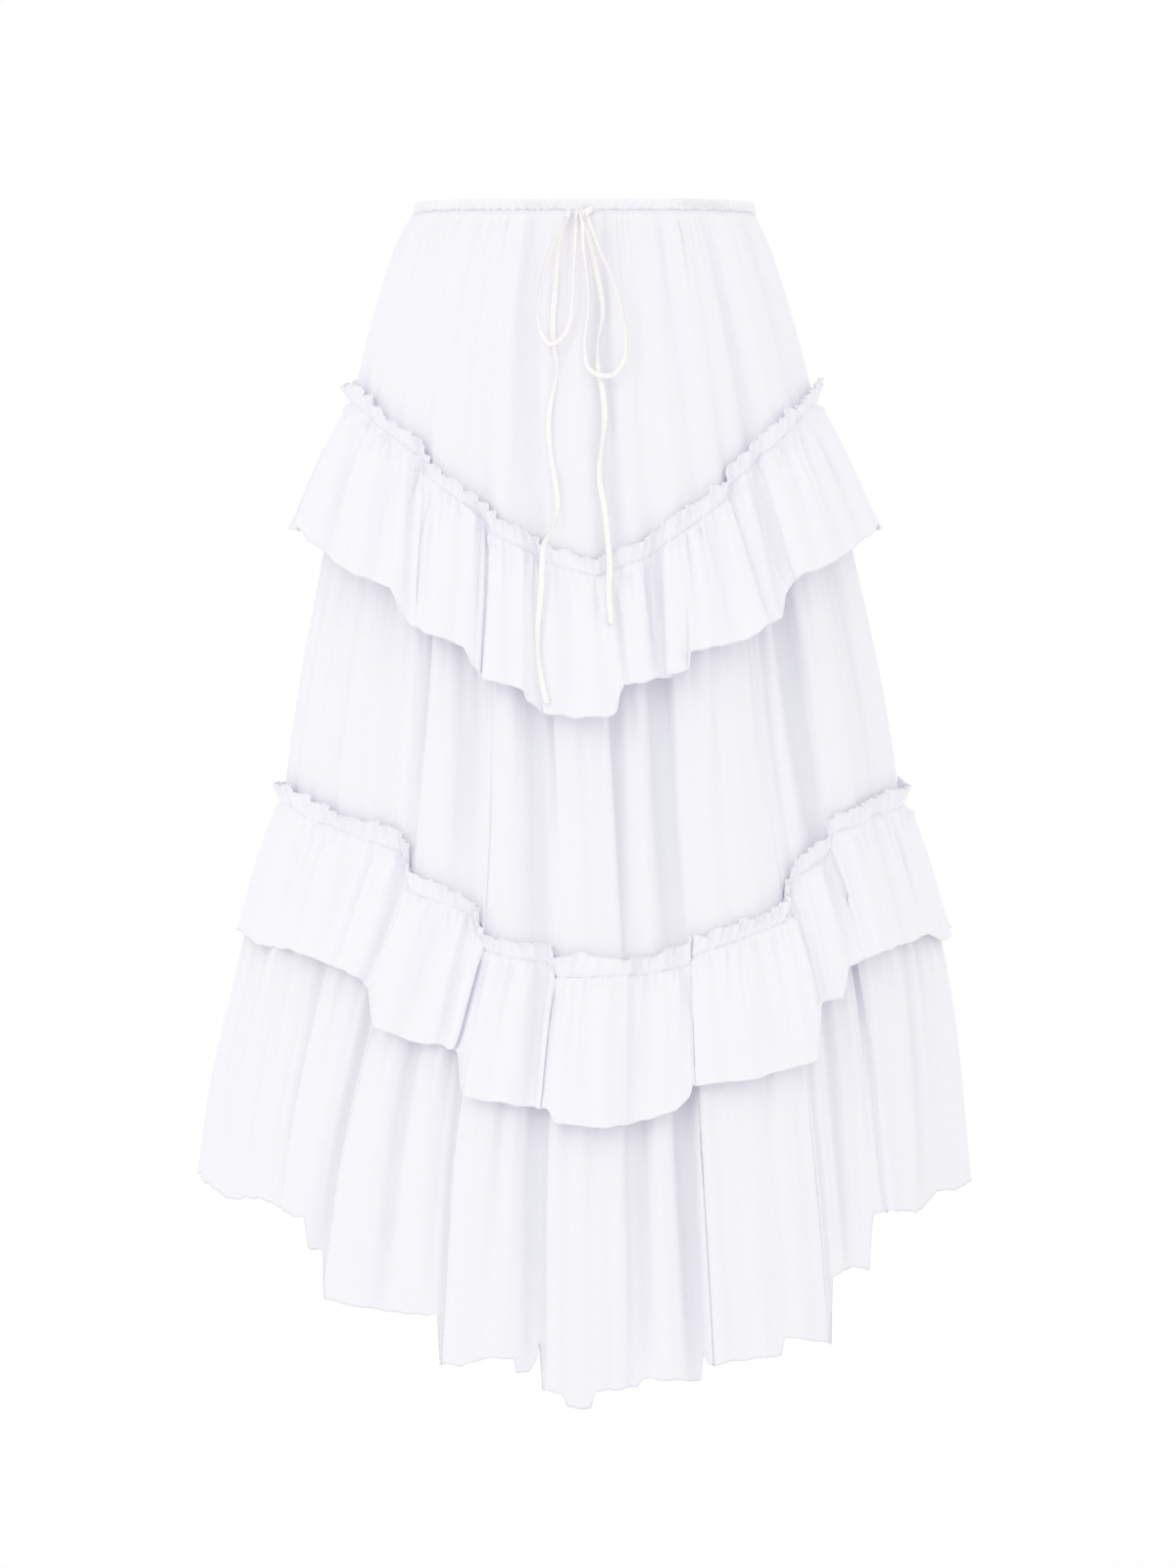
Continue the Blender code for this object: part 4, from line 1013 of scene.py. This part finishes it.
class SKIRT_OT_stage(bpy.types.Operator):
    """The camera, the soft studio light and the floor"""

    bl_idname = "skirt.stage"
    bl_label = "Stage"

    def execute(self, context):
        scene, stage = context.scene, context.scene.skirt_stage
        camera = bpy.data.cameras.new("camera")
        camera.sensor_fit = "VERTICAL"
        camera.lens = camera.sensor_height / 2 * DISTANCE / SEEN
        camera.shift_y = (MIDDLE + RISE - EYE) / (2 * SEEN)
        camera.clip_end = 60
        view = bpy.data.objects.new("camera", camera)
        view.location = (ASIDE, -DISTANCE, EYE)
        view.rotation_euler = (math.radians(90), 0, 0)
        scene.collection.objects.link(view)
        scene.camera = view
        scene.view_settings.view_transform = "Standard"
        scene.cycles.max_bounces = 24
        scene.cycles.diffuse_bounces = 16

        bpy.ops.object.select_all(action="DESELECT")
        bpy.ops.mesh.primitive_plane_add(size=60, location=(0, 0, -stage.floor_drop))
        floor = context.object
        floor.name = "floor"
        bpy.ops.object.transform_apply(location=True)
        paper, tree, shader = new_material("matt_white_floor")
        place = node(tree, "TexCoord", {}, "Object")
        grain = node(tree, "TexNoise", {"Vector": place, "Scale": 900, "Detail": 2}, "Fac")
        bump = node(tree, "Bump", {"Height": grain, "Strength": 0.05, "Distance": 0.1 * MM})
        feed(tree, shader, {"Base Color": (*stage.floor, 1), "Roughness": 0.9, "Specular IOR Level": 0,
                            "Normal": bump})
        floor.data.materials.append(paper)

        world = bpy.data.worlds.new("white_studio")
        world.use_nodes = True
        scene.world = world
        sky = world.node_tree.nodes["Background"]
        feed(world.node_tree, sky, {"Color": (1, 1, 1, 1), "Strength": stage.daylight})
        lamp = bpy.data.lights.new("key", "SUN")
        lamp.energy = 0.17 * stage.key
        lamp.angle = math.radians(25)
        lamp.color = (1.0, 0.99, 0.97)
        light = bpy.data.objects.new("key", lamp)
        light.location = (-2.6, -3.2, 2.2)
        light.rotation_euler = (-light.location).to_track_quat("-Z", "Y").to_euler()
        scene.collection.objects.link(light)
        return {"FINISHED"}


class SKIRT_PT_panel(bpy.types.Panel):
    """The skirt's sizes, and a button for each group of pieces"""

    bl_label = "Tiered skirt"
    bl_space_type = "VIEW_3D"
    bl_region_type = "UI"
    bl_category = "Skirt"

    def draw(self, context):
        for group in ("skirt_cloth", "skirt_tie", "skirt_stage"):
            settings = getattr(context.scene, group)
            box = self.layout.box()
            for key in settings.bl_rna.properties.keys():
                if key not in {"rna_type", "name"}:
                    box.prop(settings, key)
        for operator in OPERATORS:
            self.layout.operator(operator.bl_idname)


GROUPS = {"skirt_cloth": SkirtCloth, "skirt_tie": SkirtTie, "skirt_stage": SkirtStage}
OPERATORS = (SKIRT_OT_stage, SKIRT_OT_waistband, SKIRT_OT_tiers, SKIRT_OT_ruffles, SKIRT_OT_tie)


def register():
    for name, group in GROUPS.items():
        bpy.utils.register_class(group)
        setattr(bpy.types.Scene, name, bpy.props.PointerProperty(type=group))
    for operator in OPERATORS:
        bpy.utils.register_class(operator)
    bpy.utils.register_class(SKIRT_PT_panel)


def unregister():
    bpy.utils.unregister_class(SKIRT_PT_panel)
    for operator in reversed(OPERATORS):
        bpy.utils.unregister_class(operator)
    for name, group in GROUPS.items():
        delattr(bpy.types.Scene, name)
        bpy.utils.unregister_class(group)


def main():
    register()
    bpy.ops.skirt.stage()
    bpy.ops.skirt.waistband()
    bpy.ops.skirt.tiers()
    bpy.ops.skirt.ruffles()
    bpy.ops.skirt.tie()


if __name__ == "__main__":
    main()
